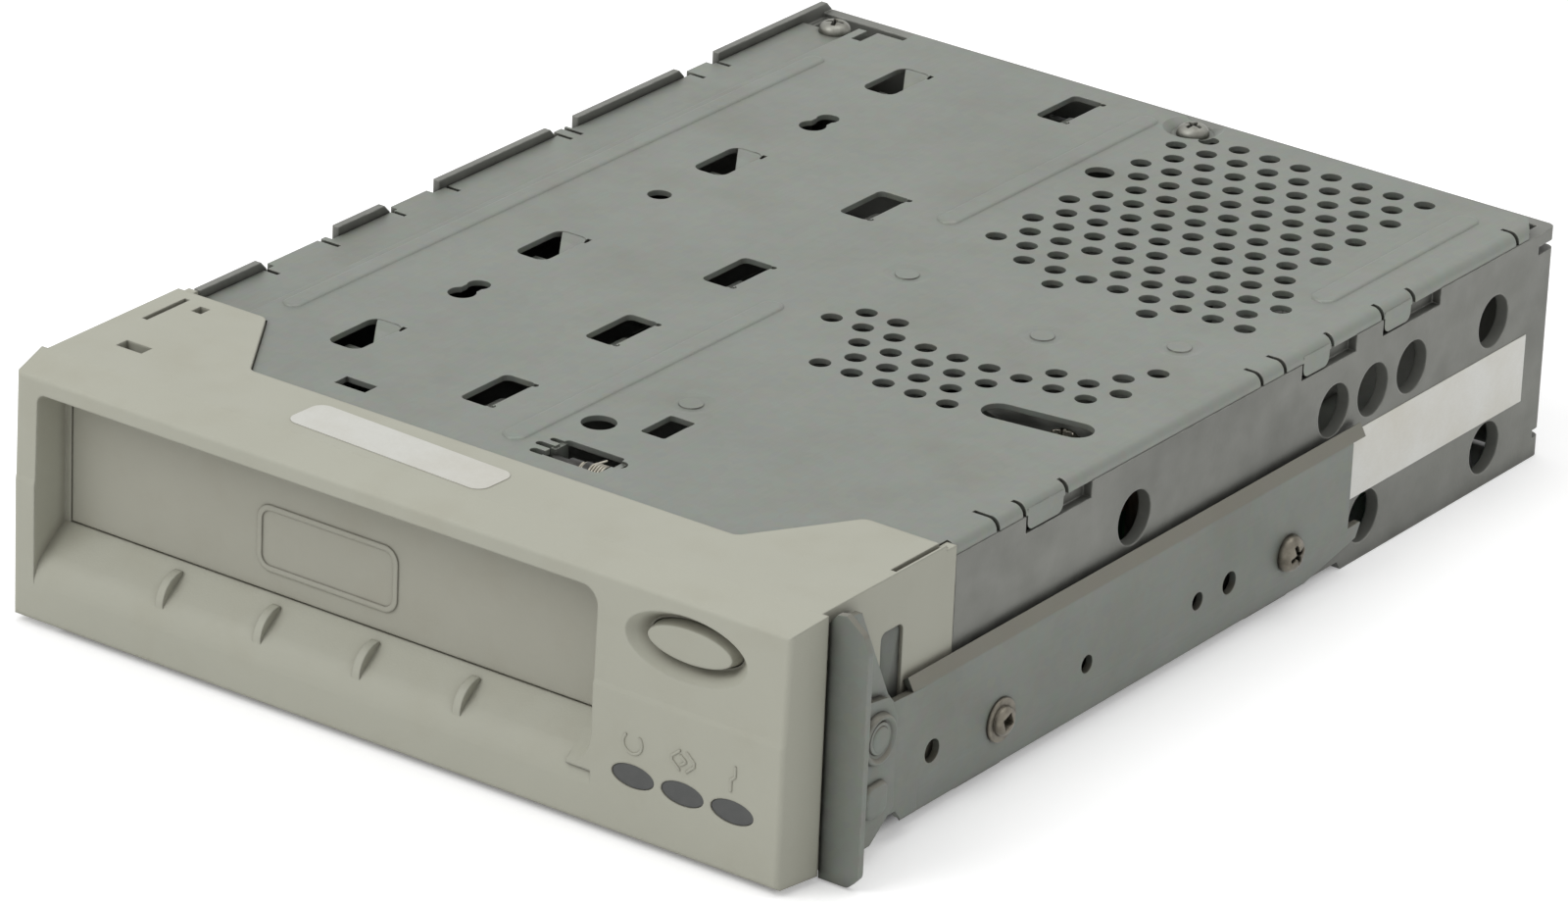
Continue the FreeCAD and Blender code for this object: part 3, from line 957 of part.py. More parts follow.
def data_connector():
    """The two-row data connector at the rear, a shroud with a centre key and its pins."""
    x0, x1, z0, z1 = REAR_PORTS[0]
    shell = block(x0 + 4, x1 - 4, PORT_Y - 12.0, PORT_Y, BOARD_TOP, z1 - 0.6)
    cavity = block(x0 + 6, x1 - 6, PORT_Y - 9.0, PORT_Y + 1, BOARD_TOP + 0.9, z1 - 1.5)
    key = block(-22.2, -17.8, PORT_Y - 9.0, PORT_Y + 1, z1 - 2.0, z1)
    pins = []
    for i in range(25):
        for z in (BOARD_TOP + 1.6, BOARD_TOP + 1.6 + PIN_PITCH):
            x = -20.0 + PIN_PITCH * (i - 12)
            pins.append(block(x - 0.32, x + 0.32, PORT_Y - 10, PORT_Y - PIN_DEEP, z - 0.32, z + 0.32))
    return fuse([carve(shell, [cavity, key])] + pins)


def power_connector():
    """The four-way power inlet with its keyed corners and round pins."""
    x0, x1, z0, z1 = REAR_PORTS[1]
    high = 6.6
    shell = block(x0 + 1.4, x0 + 22.4, PORT_Y - 12.0, PORT_Y, BOARD_TOP, BOARD_TOP + high)
    cavity = block(x0 + 2.2, x0 + 21.6, PORT_Y - 10.0, PORT_Y + 1, BOARD_TOP + 0.8, BOARD_TOP + high - 0.8)
    cavity = soften(cavity, 1.6, lambda e: abs(e.Length - 11) < 1e-3
                    and e.Vertexes[0].Point.z > BOARD_TOP + high - 1)
    pins = [rod(x0 + 4.3 + 5.08 * i, PORT_Y - 11, BOARD_TOP + high / 2, 1.05, 11 - PIN_DEEP, V(0, 1, 0))
            for i in range(4)]
    return fuse([shell.cut(cavity)] + pins)


def jumper_header():
    """The address and option pins beside the data connector."""
    base = block(-61.8, -58.8, JUMPER_Y, JUMPER_Y + 20.5, BOARD_TOP, BOARD_TOP + 2.5)
    pins = []
    for i in range(7):
        for x in (-61.0, -60.0):
            y = JUMPER_Y + 2.6 + PIN_PITCH * i
            pins.append(block(x - 0.2, x + 0.2, y - 0.3, y + 0.3, BOARD_TOP + 2.4, BOARD_TOP + 7.5))
    return fuse([base] + pins)


def cartridge_guide_left():
    """The left guide: a side rail with a lip over the cartridge and the stop at its rear."""
    x1 = BAY_LEFT - 0.3
    x0 = -WALL_IN + SKIRT_LAND + 0.1
    rail = block(x0, x1, GUIDE_FRONT, GUIDE_REAR, DECK_TOP, BAY_TOP + 2.0)
    lip = block(x0, BAY_LEFT + 3.5, GUIDE_FRONT, GUIDE_REAR, BAY_TOP + CART_GAP, BAY_TOP + 2.0)
    runner = block(x0, BAY_LEFT + 3.0, GUIDE_FRONT, GUIDE_REAR, DECK_TOP, CART_BASE - 0.2)
    stop = block(BAY_LEFT - 2, BAY_LEFT + 9.0, BAY_REAR + 0.4, GUIDE_REAR, DECK_TOP, CART_BASE + 9.0)
    lead = sheet_yz([(GUIDE_FRONT - 0.1, BAY_TOP - 1.5), (GUIDE_FRONT + 6, BAY_TOP + CART_GAP),
                     (GUIDE_FRONT - 0.1, BAY_TOP + CART_GAP + 1.0)], x1, BAY_LEFT + 3.6)
    return carve(fuse([rail, lip, runner, stop]), [lead])


def cartridge_guide_right():
    """The right guide in two lengths, open where the head and the capstan reach the tape."""
    x0 = BAY_RIGHT + 0.3
    pieces = []
    for y0, y1 in ((GUIDE_FRONT, HEAD_Y - 13.0), (CAPSTAN_Y + 14.0, GUIDE_REAR)):
        top = BAY_TOP + 2.0 if y0 > 40 else BAY_TOP - 1.0
        wall = block(x0, x0 + 1.8, y0, y1, DECK_TOP, top)
        runner = block(BAY_RIGHT - 3.0, x0 + 1.8, y0, y1, DECK_TOP, CART_BASE - 0.2)
        parts = [wall, runner]
        if y0 > 40:
            parts.append(block(BAY_RIGHT - 3.5, x0 + 1.8, y0, y1, BAY_TOP + CART_GAP, BAY_TOP + 2.0))
        pieces.append(fuse(parts))
    rear = pieces[1].cut(block(x0 - 1, x0 + 3, SLIDER_PAWL_Y - 3, SLIDER_PAWL_Y + SLIDER_TRAVEL + 7,
                               CART_BASE + 1.0, BAY_TOP - 5.0))
    rear = rear.cut(block(x0 - 1, x0 + 3, SENSOR_Y - 2.5, SENSOR_Y + 2.5, SENSOR_Z - 2.5, SENSOR_Z + 2.5))
    return Part.makeCompound([pieces[0], rear])


def head_bridge():
    """The cast bridge over the head and capstan: a ribbed plate on four legs."""
    left = LEAD_X - 13.8
    right = LEAD_X + 14.6
    waist = LEAD_X - 2.5
    outline = [(left, 37.2), (right, 37.2), (right, 108.6), (left, 108.6), (left, 95.0), (waist, 90.0),
               (waist, 76.0), (left, 70.0)]
    plate = sheet_xy(outline, BRIDGE_BASE, BRIDGE_TOP)
    plate = soften(plate, 1.5, upright)
    legs = [rod(x, y, DECK_TOP, 2.9, BRIDGE_BASE - DECK_TOP + 0.5) for x, y in BRIDGE_LEGS]
    ribs = [block(LEAD_X + 6.0, LEAD_X + 7.4, 42.0, 100.0, BRIDGE_BASE - 3.0, BRIDGE_BASE + 0.5),
            block(left + 3.3, right - 0.6, 71.0, 72.4, BRIDGE_BASE - 3.0, BRIDGE_BASE + 0.5)]
    whole = fuse([plate] + legs + ribs)
    cuts = [rod(LEAD_X, HEAD_Y, BRIDGE_BASE - 4, LEAD_R + BEARING_GAP, 9)]
    cuts += [rod(x, y, BRIDGE_BASE - 4, HEAD_ROD_R + 0.01, 9) for x, y in HEAD_RODS]
    cuts += [rod(x, y, DECK_TOP - 1, M3_R, 8) for x, y in BRIDGE_LEGS]
    cuts.append(rod(*BRIDGE_SCREW, BRIDGE_TOP - 5, M3_R, 8))
    cuts.append(block(LEAD_X - 10, LEAD_X + 4, HEAD_Y - 10, HEAD_Y - 4, BRIDGE_BASE - 1, BRIDGE_TOP + 1))
    return carve(whole, cuts)


def bridge_screws():
    """Four screws up through the deck into the bridge's legs and one in its top."""
    up = [screw_spot(x, y, DECK_BASE, V(0, 0, 1), 2.75, 1.8, 7.0) for x, y in BRIDGE_LEGS]
    return Part.makeCompound(up + [screw_spot(*BRIDGE_SCREW, BRIDGE_TOP, V(0, 0, -1), 2.9, 2.0, 5.0)])


def head_guide_rods():
    """The two upright rods that the head carriage slides on."""
    return Part.makeCompound([rod(x, y, DECK_TOP, HEAD_ROD_R, BRIDGE_TOP - DECK_TOP - 0.3)
                              for x, y in HEAD_RODS])


def head_carriage():
    """The carriage: a block bored for both guide rods and the lead screw, open in front."""
    x0 = HEAD_FACE_X + 3.6
    body = block(x0, LEAD_X + 5.0, HEAD_Y - 12.0, HEAD_Y + 12.0, CARRIAGE_BASE, CARRIAGE_TOP)
    body = soften(body, 1.2, upright)
    cuts = [rod(x, y, CARRIAGE_BASE - 1, HEAD_ROD_R + BEARING_GAP, 12) for x, y in HEAD_RODS]
    cuts.append(rod(LEAD_X, HEAD_Y, CARRIAGE_BASE - 1, LEAD_R + BEARING_GAP, 12))
    cuts.append(block(LEAD_X + 1.0, LEAD_X + 6, HEAD_Y - 13, HEAD_Y - 4.5, CARRIAGE_BASE - 1, CARRIAGE_TOP + 1))
    cuts.append(block(LEAD_X + 1.0, LEAD_X + 6, HEAD_Y + 4.5, HEAD_Y + 13, CARRIAGE_BASE - 1, CARRIAGE_TOP + 1))
    cuts.append(block(x0 - 1, x0 + 2.2, HEAD_Y - 13, HEAD_Y - 6, CARRIAGE_BASE - 1, CARRIAGE_TOP + 1))
    cuts.append(block(x0 - 1, x0 + 2.2, HEAD_Y + 6, HEAD_Y + 13, CARRIAGE_BASE - 1, CARRIAGE_TOP + 1))
    return carve(body, cuts)


def tape_head():
    """The head: a block with a crowned face that meets the tape and a slotted centre."""
    back = HEAD_FACE_X + 3.6
    arc = Part.Arc(V(HEAD_FACE_X + 0.9, HEAD_Y - 4.5, 0), V(HEAD_FACE_X, HEAD_Y, 0),
                   V(HEAD_FACE_X + 0.9, HEAD_Y + 4.5, 0))
    rest = Part.makePolygon([V(HEAD_FACE_X + 0.9, HEAD_Y + 4.5, 0), V(back, HEAD_Y + 4.5, 0),
                             V(back, HEAD_Y - 4.5, 0), V(HEAD_FACE_X + 0.9, HEAD_Y - 4.5, 0)])
    face = Part.Face(Part.Wire([arc.toShape()] + rest.Edges))
    face.translate(V(0, 0, CARRIAGE_BASE + 0.2))
    whole = face.extrude(V(0, 0, CARRIAGE_TOP - CARRIAGE_BASE - 0.4))
    slots = [block(HEAD_FACE_X - 1, HEAD_FACE_X + 0.6, y - 0.25, y + 0.25, CARRIAGE_BASE, CARRIAGE_TOP)
             for y in (HEAD_Y - 2.0, HEAD_Y + 2.0)]
    return carve(whole, slots)


def stepper_motor():
    """The stepper under the deck that turns the lead screw."""
    base = DECK_BASE - 8.8
    can = rod(LEAD_X, HEAD_Y, base, STEPPER_R, 8.7)
    nose = rod(LEAD_X, HEAD_Y, DECK_BASE - 0.2, STEPPER_NOSE_R, DECK_THICK + 0.9)
    bore = rod(LEAD_X, HEAD_Y, base + 1.2, LEAD_R + BEARING_GAP, 20)
    return fuse([can, nose]).cut(bore)


def lead_screw():
    """The lead screw: the stepper's shaft, stepped by its thread's runout grooves."""
    base = DECK_BASE - 7.4
    shaft = rod(LEAD_X, HEAD_Y, base, LEAD_R, BRIDGE_TOP - 0.4 - base)
    groove = rod(LEAD_X, HEAD_Y, DECK_TOP + 1.4, LEAD_R + 1, 0.8).cut(
        rod(LEAD_X, HEAD_Y, DECK_TOP + 1.0, LEAD_R - 0.4, 2))
    slot = block(LEAD_X - 3, LEAD_X + 3, HEAD_Y - 0.4, HEAD_Y + 0.4, BRIDGE_TOP - 1.4, BRIDGE_TOP + 1)
    collar = rod(LEAD_X, HEAD_Y, DECK_TOP + 0.9, LEAD_R + 1.2, 0.6)
    return fuse([carve(shaft, [groove, slot]), collar])


def capstan_stator():
    """The capstan motor's base under the deck: mounting plate, coils and bearing tube."""
    plate = rod(CAPSTAN_X, CAPSTAN_Y, DECK_BASE - 1.2, STATOR_R - 1.0, 1.2)
    hub = rod(CAPSTAN_X, CAPSTAN_Y, STATOR_BASE - 1.8, 7.0, DECK_BASE - STATOR_BASE + 1.8)
    tube = rod(CAPSTAN_X, CAPSTAN_Y, DECK_BASE - 0.5, STATOR_TUBE_R, 5.3)
    coils = []
    for i in range(9):
        angle = 2 * math.pi * i / 9
        arm = block(6.0, 9.6, -1.2, 1.2, STATOR_BASE - 1.4, DECK_BASE - 1.0)
        head = block(9.0, 10.6, -2.0, 2.0, STATOR_BASE - 1.4, DECK_BASE - 1.9)
        tooth = fuse([arm, head])
        tooth.rotate(V(0, 0, 0), V(0, 0, 1), math.degrees(angle))
        tooth.translate(V(CAPSTAN_X, CAPSTAN_Y, 0))
        coils.append(tooth)
    whole = fuse([plate, hub, tube] + coils)
    cuts = [rod(CAPSTAN_X, CAPSTAN_Y, STATOR_BASE - 3, CAPSTAN_SHAFT_R + BEARING_GAP, 20)]
    cuts += [rod(x, y, DECK_BASE - 3, M3_R + 0.1, 5) for x, y in STATOR_HOLES]
    return carve(whole, cuts)


def capstan_rotor():
    """The capstan motor's cup and shaft."""
    base = ROTOR_BASE
    cup = rod(CAPSTAN_X, CAPSTAN_Y, base, ROTOR_R, STATOR_BASE + 1.6 - base)
    hollow = rod(CAPSTAN_X, CAPSTAN_Y, base + 1.4, ROTOR_R - 1.6, 20)
    cup = cup.cut(hollow)
    shaft = rod(CAPSTAN_X, CAPSTAN_Y, base + 0.5, CAPSTAN_SHAFT_R, PUCK_TOP + 1.0 - base)
    holes = [rod(CAPSTAN_X + 7.6 * math.cos(a), CAPSTAN_Y + 7.6 * math.sin(a), base - 1, 1.5, 4)
             for a in (0.0, math.pi * 2 / 3, math.pi * 4 / 3)]
    return carve(fuse([cup, shaft]), holes)


def capstan_puck():
    """The tyred puck on the capstan's shaft that drives the cartridge's roller."""
    hub = PUCK_R - 1.4
    profile = [V(CAPSTAN_SHAFT_R, 0, PUCK_BASE), V(hub, 0, PUCK_BASE), V(hub, 0, PUCK_BASE + 1.6),
               V(PUCK_R, 0, PUCK_BASE + 2.0), V(PUCK_R, 0, PUCK_TOP - 2.0), V(hub, 0, PUCK_TOP - 1.6),
               V(hub, 0, PUCK_TOP), V(CAPSTAN_SHAFT_R, 0, PUCK_TOP), V(CAPSTAN_SHAFT_R, 0, PUCK_BASE)]
    whole = Part.Face(Part.makePolygon(profile)).revolve(V(0, 0, 0), V(0, 0, 1), 360)
    whole.translate(V(CAPSTAN_X, CAPSTAN_Y, 0))
    return whole


def stator_screws():
    """Three screws that hold the capstan motor's plate under the deck."""
    return Part.makeCompound([screw_spot(x, y, DECK_BASE - 1.2, V(0, 0, 1), 2.4, 1.3, 3.1)
                              for x, y in STATOR_HOLES])


def gear_outline(teeth, module, gap=0.06, steps=5):
    """The outline of an involute spur gear, centred, thinned a little for backlash."""
    pitch_r = module * teeth / 2
    base_r = pitch_r * math.cos(math.radians(20))
    tip_r = pitch_r + module * 0.95
    root_r = pitch_r - module * 1.2
    start_r = max(base_r, root_r + 0.02)

    def roll(radius):
        """The angle that the involute has turned at a radius."""
        t = math.sqrt(max((radius / base_r) ** 2 - 1, 0.0))
        return t - math.atan(t)

    half = math.pi / (2 * teeth) + roll(pitch_r) - gap / pitch_r
    points = []
    for tooth in range(teeth):
        centre = 2 * math.pi * tooth / teeth
        radii = [start_r + (tip_r - start_r) * k / (steps - 1) for k in range(steps)]
        rise = [(root_r, -half)] + [(r, roll(r) - half) for r in radii]
        fall = [(r, -a) for r, a in reversed(rise)]
        points += [(r * math.cos(centre + a), r * math.sin(centre + a)) for r, a in rise + fall]
    return points


def gear(teeth, module, z0, z1, bore_r, phase):
    """A spur gear about the z axis."""
    wheel = sheet_xy(gear_outline(teeth, module), z0, z1)
    wheel.rotate(V(0, 0, 0), V(0, 0, 1), phase)
    return wheel.cut(rod(0, 0, z0 - 1, bore_r, z1 - z0 + 2))


def load_gear():
    """The loader's wide gear with its hub and three lightening holes."""
    wheel = gear(GEAR_TEETH, GEAR_MODULE, GEAR_Z, GEAR_Z + GEAR_FACE, AXLE_R + BEARING_GAP, 0)
    hub = rod(0, 0, GEAR_Z + GEAR_FACE - 0.1, 3.4, 1.3).cut(rod(0, 0, 0, AXLE_R + BEARING_GAP, 40))
    holes = [rod(5.6 * math.cos(a), 5.6 * math.sin(a), 0, 1.3, 40)
             for a in (0.5, 0.5 + math.pi * 2 / 3, 0.5 + math.pi * 4 / 3)]
    whole = carve(fuse([wheel, hub]), holes)
    whole.translate(V(GEAR_X, GEAR_Y, 0))
    return whole


def load_gear_axle():
    """The axle riveted in the deck that the wide gear turns on."""
    stem = rod(GEAR_X, GEAR_Y, DECK_TOP, AXLE_R, BRACKET_TOP - BRACKET_SHEET - DECK_TOP)
    foot = rod(GEAR_X, GEAR_Y, DECK_TOP, 3.2, GEAR_Z - DECK_TOP - 0.2)
    return fuse([stem, foot])


def load_pinion():
    """The pinion on the loading motor's shaft, with a tooth gap facing the wide gear."""
    teeth = gear(PINION_TEETH, GEAR_MODULE, GEAR_Z - 0.4, GEAR_Z + GEAR_FACE + 0.4, 1.0,
                 180.0 / PINION_TEETH - 90)
    shaft = rod(0, 0, GEAR_Z - 0.4, 1.0, MOTOR_BASE + 6.0 - GEAR_Z)
    whole = fuse([teeth, shaft])
    whole.translate(V(GEAR_X, PINION_Y, 0))
    return whole


def load_motor():
    """The loading motor: a can that stands on the bracket with its shaft down."""
    can = rod(GEAR_X, PINION_Y, BRACKET_TOP, MOTOR_R, 12.0)
    flats = [block(GEAR_X + side * 10 - 3.4, GEAR_X + side * 10 + 3.4, PINION_Y - 10, PINION_Y + 10, 20, 50)
             for side in (-1, 1)]
    boss = rod(GEAR_X, PINION_Y, BRACKET_TOP - BRACKET_SHEET, 2.9, BRACKET_SHEET + 0.2)
    tail = rod(GEAR_X, PINION_Y, BRACKET_TOP + 11.9, 2.6, 1.0)
    bore = rod(GEAR_X, PINION_Y, BRACKET_TOP - 3, 1.0 + BEARING_GAP, 10.0)
    return carve(fuse([carve(can, flats), boss, tail]), [bore])


def load_bracket():
    """The bent bracket that carries the loading motor and steadies the gear's axle."""
    plate = rounded_plate(GEAR_X - 7.5, BRACKET_LEG_X, GEAR_Y - 7.0, PINION_Y + 9.0,
                          BRACKET_TOP - BRACKET_SHEET, BRACKET_TOP, 1.5)
    legs = [block(BRACKET_LEG_X - BRACKET_SHEET, BRACKET_LEG_X, y, y + 9.0, DECK_TOP, BRACKET_TOP)
            for y in (GEAR_Y - 4.0, PINION_Y - 3.0)]
    feet = [block(BRACKET_LEG_X - 4.4, BRACKET_LEG_X, y, y + 9.0, DECK_TOP, DECK_TOP + BRACKET_SHEET)
            for y in (GEAR_Y - 4.0, PINION_Y - 3.0)]
    whole = fuse([plate] + legs + feet)
    cuts = [rod(GEAR_X, PINION_Y, BRACKET_TOP - 3, 3.0, 5), rod(GEAR_X, GEAR_Y, BRACKET_TOP - 3, AXLE_R, 5)]
    return carve(whole, cuts)


def load_slider():
    """The loading slide: a bar with a rack towards the gear and a pawl for the cartridge's notch."""
    x0 = BAY_RIGHT + 3.4
    x1 = RACK_X - GEAR_MODULE * 1.25
    y0 = SLIDER_PAWL_Y - 2.0
    y1 = GEAR_Y + 26.0
    bar = block(x0, x1, y0, y1, DECK_TOP + 0.2, GEAR_Z + GEAR_FACE)
    pitch = math.pi * GEAR_MODULE
    slope = math.tan(math.radians(20))
    gap = 0.06
    teeth = []
    count = int((y1 - y0 - 4) / pitch)
    first = GEAR_Y + pitch / 2 - pitch * round((GEAR_Y - y0 - 4) / pitch)
    for i in range(count):
        mid = first + pitch * i
        if mid - pitch / 2 > y0 and mid + pitch / 2 < y1:
            half = pitch / 4 - gap
            foot = half + slope * GEAR_MODULE * 1.25
            tip = half - slope * GEAR_MODULE * 0.95
            teeth.append(sheet_xy([(x1 - 0.05, mid - foot), (RACK_X + GEAR_MODULE * 0.95, mid - tip),
                                   (RACK_X + GEAR_MODULE * 0.95, mid + tip), (x1 - 0.05, mid + foot)],
                                  GEAR_Z, GEAR_Z + GEAR_FACE))
    pawl = sheet_xy([(BAY_RIGHT + 0.7, SLIDER_PAWL_Y + 1.6), (x0 + 0.1, SLIDER_PAWL_Y - 2.0),
                     (x0 + 0.1, SLIDER_PAWL_Y + 5.0), (BAY_RIGHT + 0.7, SLIDER_PAWL_Y + 4.0)],
                    CART_BASE + 2.4, GEAR_Z + GEAR_FACE)
    return fuse([bar, pawl] + teeth)


def head_preamp():
    """The small upright board that takes the head's signal, with its chip and plug."""
    back = PREAMP_Y + PREAMP_THICK
    card = block(LEAD_X - 8, LEAD_X + 12, PREAMP_Y, back, DECK_TOP, DECK_TOP + PREAMP_HIGH)
    chip = block(LEAD_X - 4, LEAD_X + 6, back, back + 1.6, DECK_TOP + 5.0, DECK_TOP + 14.0)
    plug = block(LEAD_X - 5, LEAD_X + 7, back, back + 3.0, DECK_TOP, DECK_TOP + 3.4)
    return fuse([card, chip, plug])


def head_flex():
    """The flexible strip from the carriage's back to the upright board."""
    out = LEAD_X + 5.0
    run = LEAD_X + 7.8
    strip = [(out, HEAD_Y - 0.1), (run - 2.2, HEAD_Y - 0.1), (run, HEAD_Y + 3.0), (run, PREAMP_Y - 3.0),
             (run - 1.4, PREAMP_Y), (run - 1.8, PREAMP_Y), (run - 0.3, PREAMP_Y - 3.0),
             (run - 0.3, HEAD_Y + 3.2), (run - 2.4, HEAD_Y + 0.2), (out, HEAD_Y + 0.2)]
    return sheet_xy(strip, CARRIAGE_BASE + 1.4, CARRIAGE_TOP - 1.4)


def tape_sensor():
    """The block that looks for the tape's end holes, behind the right guide."""
    x0 = BAY_RIGHT + 2.3
    body = block(x0, x0 + 5.0, SENSOR_Y - 4.0, SENSOR_Y + 4.0, DECK_TOP, 28.0)
    eye = rod(x0 - 1.4, SENSOR_Y, SENSOR_Z, 1.4, 1.5, V(1, 0, 0))
    return fuse([body, eye])


def cartridge_switches():
    """Three small switches behind the cartridge's stop that read its corner."""
    switches = []
    for i in range(3):
        x = BAY_LEFT + 14.0 + 7.2 * i
        body = block(x, x + 6.4, BAY_REAR + 2.2, BAY_REAR + 10.0, DECK_TOP, DECK_TOP + 9.0)
        tip = rod(x + 3.2, BAY_REAR + 0.6, CART_BASE + 4.0, 0.9, 1.7, V(0, 1, 0))
        switches.append(fuse([body, tip]))
    return Part.makeCompound(switches)


def latch_spring():
    """The extension spring under the cover's front notch, hooked between two tabs of the cover."""
    start = SPRING_HOOKS[0][1] + SPRING_WIRE + 0.05
    end = SPRING_HOOKS[1][0] - SPRING_WIRE - 0.05
    return coil(start, SPRING_Y, COVER_TOP - 0.3 - SPRING_R - SPRING_WIRE, SPRING_R, SPRING_WIRE, end - start,
                SPRING_TURNS, V(1, 0, 0))


def service_label():
    """The plain paper label on the right wall, partly behind the rail."""
    return block(BODY_HALF, BODY_HALF + LABEL_THICK, 139.0, 205.0, 11.7, 23.5)


def barcode_label():
    """The plain label with rounded corners on the bezel's top."""
    plate = rounded_plate(-19.3, 19.3, -4.2, 4.2, 0, LABEL_THICK, 2.2)
    plate.rotate(V(0, 0, 0), V(0, 0, 1), -2.3)
    plate.translate(V(-9.5, 14.3, BEZEL_TOP))
    return plate


PIECES = [base_frame, top_cover, cover_screws, front_bezel, cartridge_door, door_hinge_rod, door_spring,
          eject_button, button_spring, indicator_lenses, front_board, indicator_lamps, eject_switch,
          front_board_cable, right_rail, rail_clip, rail_screw_front, rail_screw_rear, main_board,
          board_screws, board_components, data_connector, power_connector, jumper_header,
          cartridge_guide_left, cartridge_guide_right, head_bridge, bridge_screws, head_guide_rods,
          head_carriage, tape_head, head_preamp, head_flex, stepper_motor, lead_screw, capstan_stator,
          capstan_rotor, capstan_puck, stator_screws, load_motor, load_pinion, load_gear, load_gear_axle,
          load_slider, load_bracket, tape_sensor, cartridge_switches, latch_spring, service_label,
          barcode_label]

# The origin is under the middle of the whole drive, so every piece moves by this
X_MIDDLE = (FLANGE_OUT - BEZEL_HALF - BEZEL_FLARE) / 2
Y_MIDDLE = FRAME_REAR / 2
TO_ORIGIN = V(-X_MIDDLE, -Y_MIDDLE, 0)

os.makedirs("parts", exist_ok=True)
for make in PIECES:
    piece = make()
    piece.translate(TO_ORIGIN)
    piece.exportStep("parts/" + make.__name__ + ".step")
    box = piece.BoundBox
    print(make.__name__, "valid", piece.isValid(), "solids", len(piece.Solids), "volume", round(piece.Volume, 1),
          "box", [round(v, 2) for v in (box.XMin, box.XMax, box.YMin, box.YMax, box.ZMin, box.ZMax)])
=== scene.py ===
import json
import math

import bpy
import numpy as np
from mathutils import Matrix, Vector


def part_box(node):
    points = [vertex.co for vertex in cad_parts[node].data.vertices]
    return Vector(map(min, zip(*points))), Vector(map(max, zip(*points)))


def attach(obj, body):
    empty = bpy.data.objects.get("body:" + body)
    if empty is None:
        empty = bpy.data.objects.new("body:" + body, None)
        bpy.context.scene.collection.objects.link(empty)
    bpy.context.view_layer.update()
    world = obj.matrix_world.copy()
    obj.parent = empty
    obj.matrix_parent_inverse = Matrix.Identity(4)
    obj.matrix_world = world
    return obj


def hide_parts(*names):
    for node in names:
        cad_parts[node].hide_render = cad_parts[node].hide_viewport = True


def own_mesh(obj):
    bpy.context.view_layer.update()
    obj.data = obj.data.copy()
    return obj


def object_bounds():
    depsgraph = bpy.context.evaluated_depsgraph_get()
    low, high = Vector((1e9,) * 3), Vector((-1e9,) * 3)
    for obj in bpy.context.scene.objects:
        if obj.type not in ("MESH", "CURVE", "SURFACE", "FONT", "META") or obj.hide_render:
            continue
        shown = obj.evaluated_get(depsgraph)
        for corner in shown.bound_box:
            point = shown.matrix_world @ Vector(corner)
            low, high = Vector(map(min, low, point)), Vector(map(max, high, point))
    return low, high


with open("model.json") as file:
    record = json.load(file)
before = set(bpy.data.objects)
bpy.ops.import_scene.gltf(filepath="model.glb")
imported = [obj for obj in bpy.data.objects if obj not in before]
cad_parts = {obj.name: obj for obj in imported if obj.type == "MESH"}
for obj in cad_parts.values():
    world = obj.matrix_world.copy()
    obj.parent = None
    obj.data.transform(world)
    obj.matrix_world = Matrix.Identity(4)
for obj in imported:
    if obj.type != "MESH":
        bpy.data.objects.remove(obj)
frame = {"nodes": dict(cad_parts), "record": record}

cad_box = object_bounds()
nodes = frame["nodes"]

# The drive's own millimetres: x from its centre line, y from the bezel's face, z from the bench
MM = 0.001
bezel_low, bezel_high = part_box("front_bezel")
CENTRE_X = (bezel_low.x + bezel_high.x) / 2
FRONT_Y = bezel_low.y


def place(x, y, z):
    """A point of the drive given in its own millimetres, as metres in the row frame."""
    return np.array([CENTRE_X + x * MM, FRONT_Y + y * MM, z * MM])


# Where the screws sit, in the drive's millimetres, as in the frame that carries them
COVER_SCREWS = [(-65.3, 203.9, 40.6), (7.7, 203.9, 41.3)]
BOARD_BASE = 3.4
BOARD_SCREWS = [(x, y, BOARD_BASE) for x, y in ((-60, 24), (-60, 196), (58, 196), (58, 24), (-10, 110))]
DECK_BASE = 13.0
BRIDGE_FEET = [(x, y, DECK_BASE) for x, y in ((65.4, 40.5), (65.4, 105.4), (43.2, 105.4), (43.2, 40.5))]
BRIDGE_TOP_SCREW = (58.7, 91.2, 38.0)
STATOR_CENTRE = (45.3, 84.0)
STATOR_FLANGE = 1.2
STATOR_RING = 15.5
STATOR_SCREWS = [(STATOR_CENTRE[0] + STATOR_RING * math.cos(turn),
                  STATOR_CENTRE[1] + STATOR_RING * math.sin(turn),
                  DECK_BASE - STATOR_FLANGE) for turn in map(math.radians, (30, 150, 270))]
RAIL_SCREW_FRONT = (75.5, 52.9, 10.5)
RAIL_SCREW_REAR = (75.5, 132.15, 10.5)


# Camera: the photograph's, a long lens from the front right and above, turned a little
CAMERA_AZIMUTH = 35.023
CAMERA_ELEVATION = 23.905
CAMERA_ROLL = 2.512
CAMERA_PLACE = (0.717064, -1.032989, 0.572433)
CAMERA_LENS = 199.254


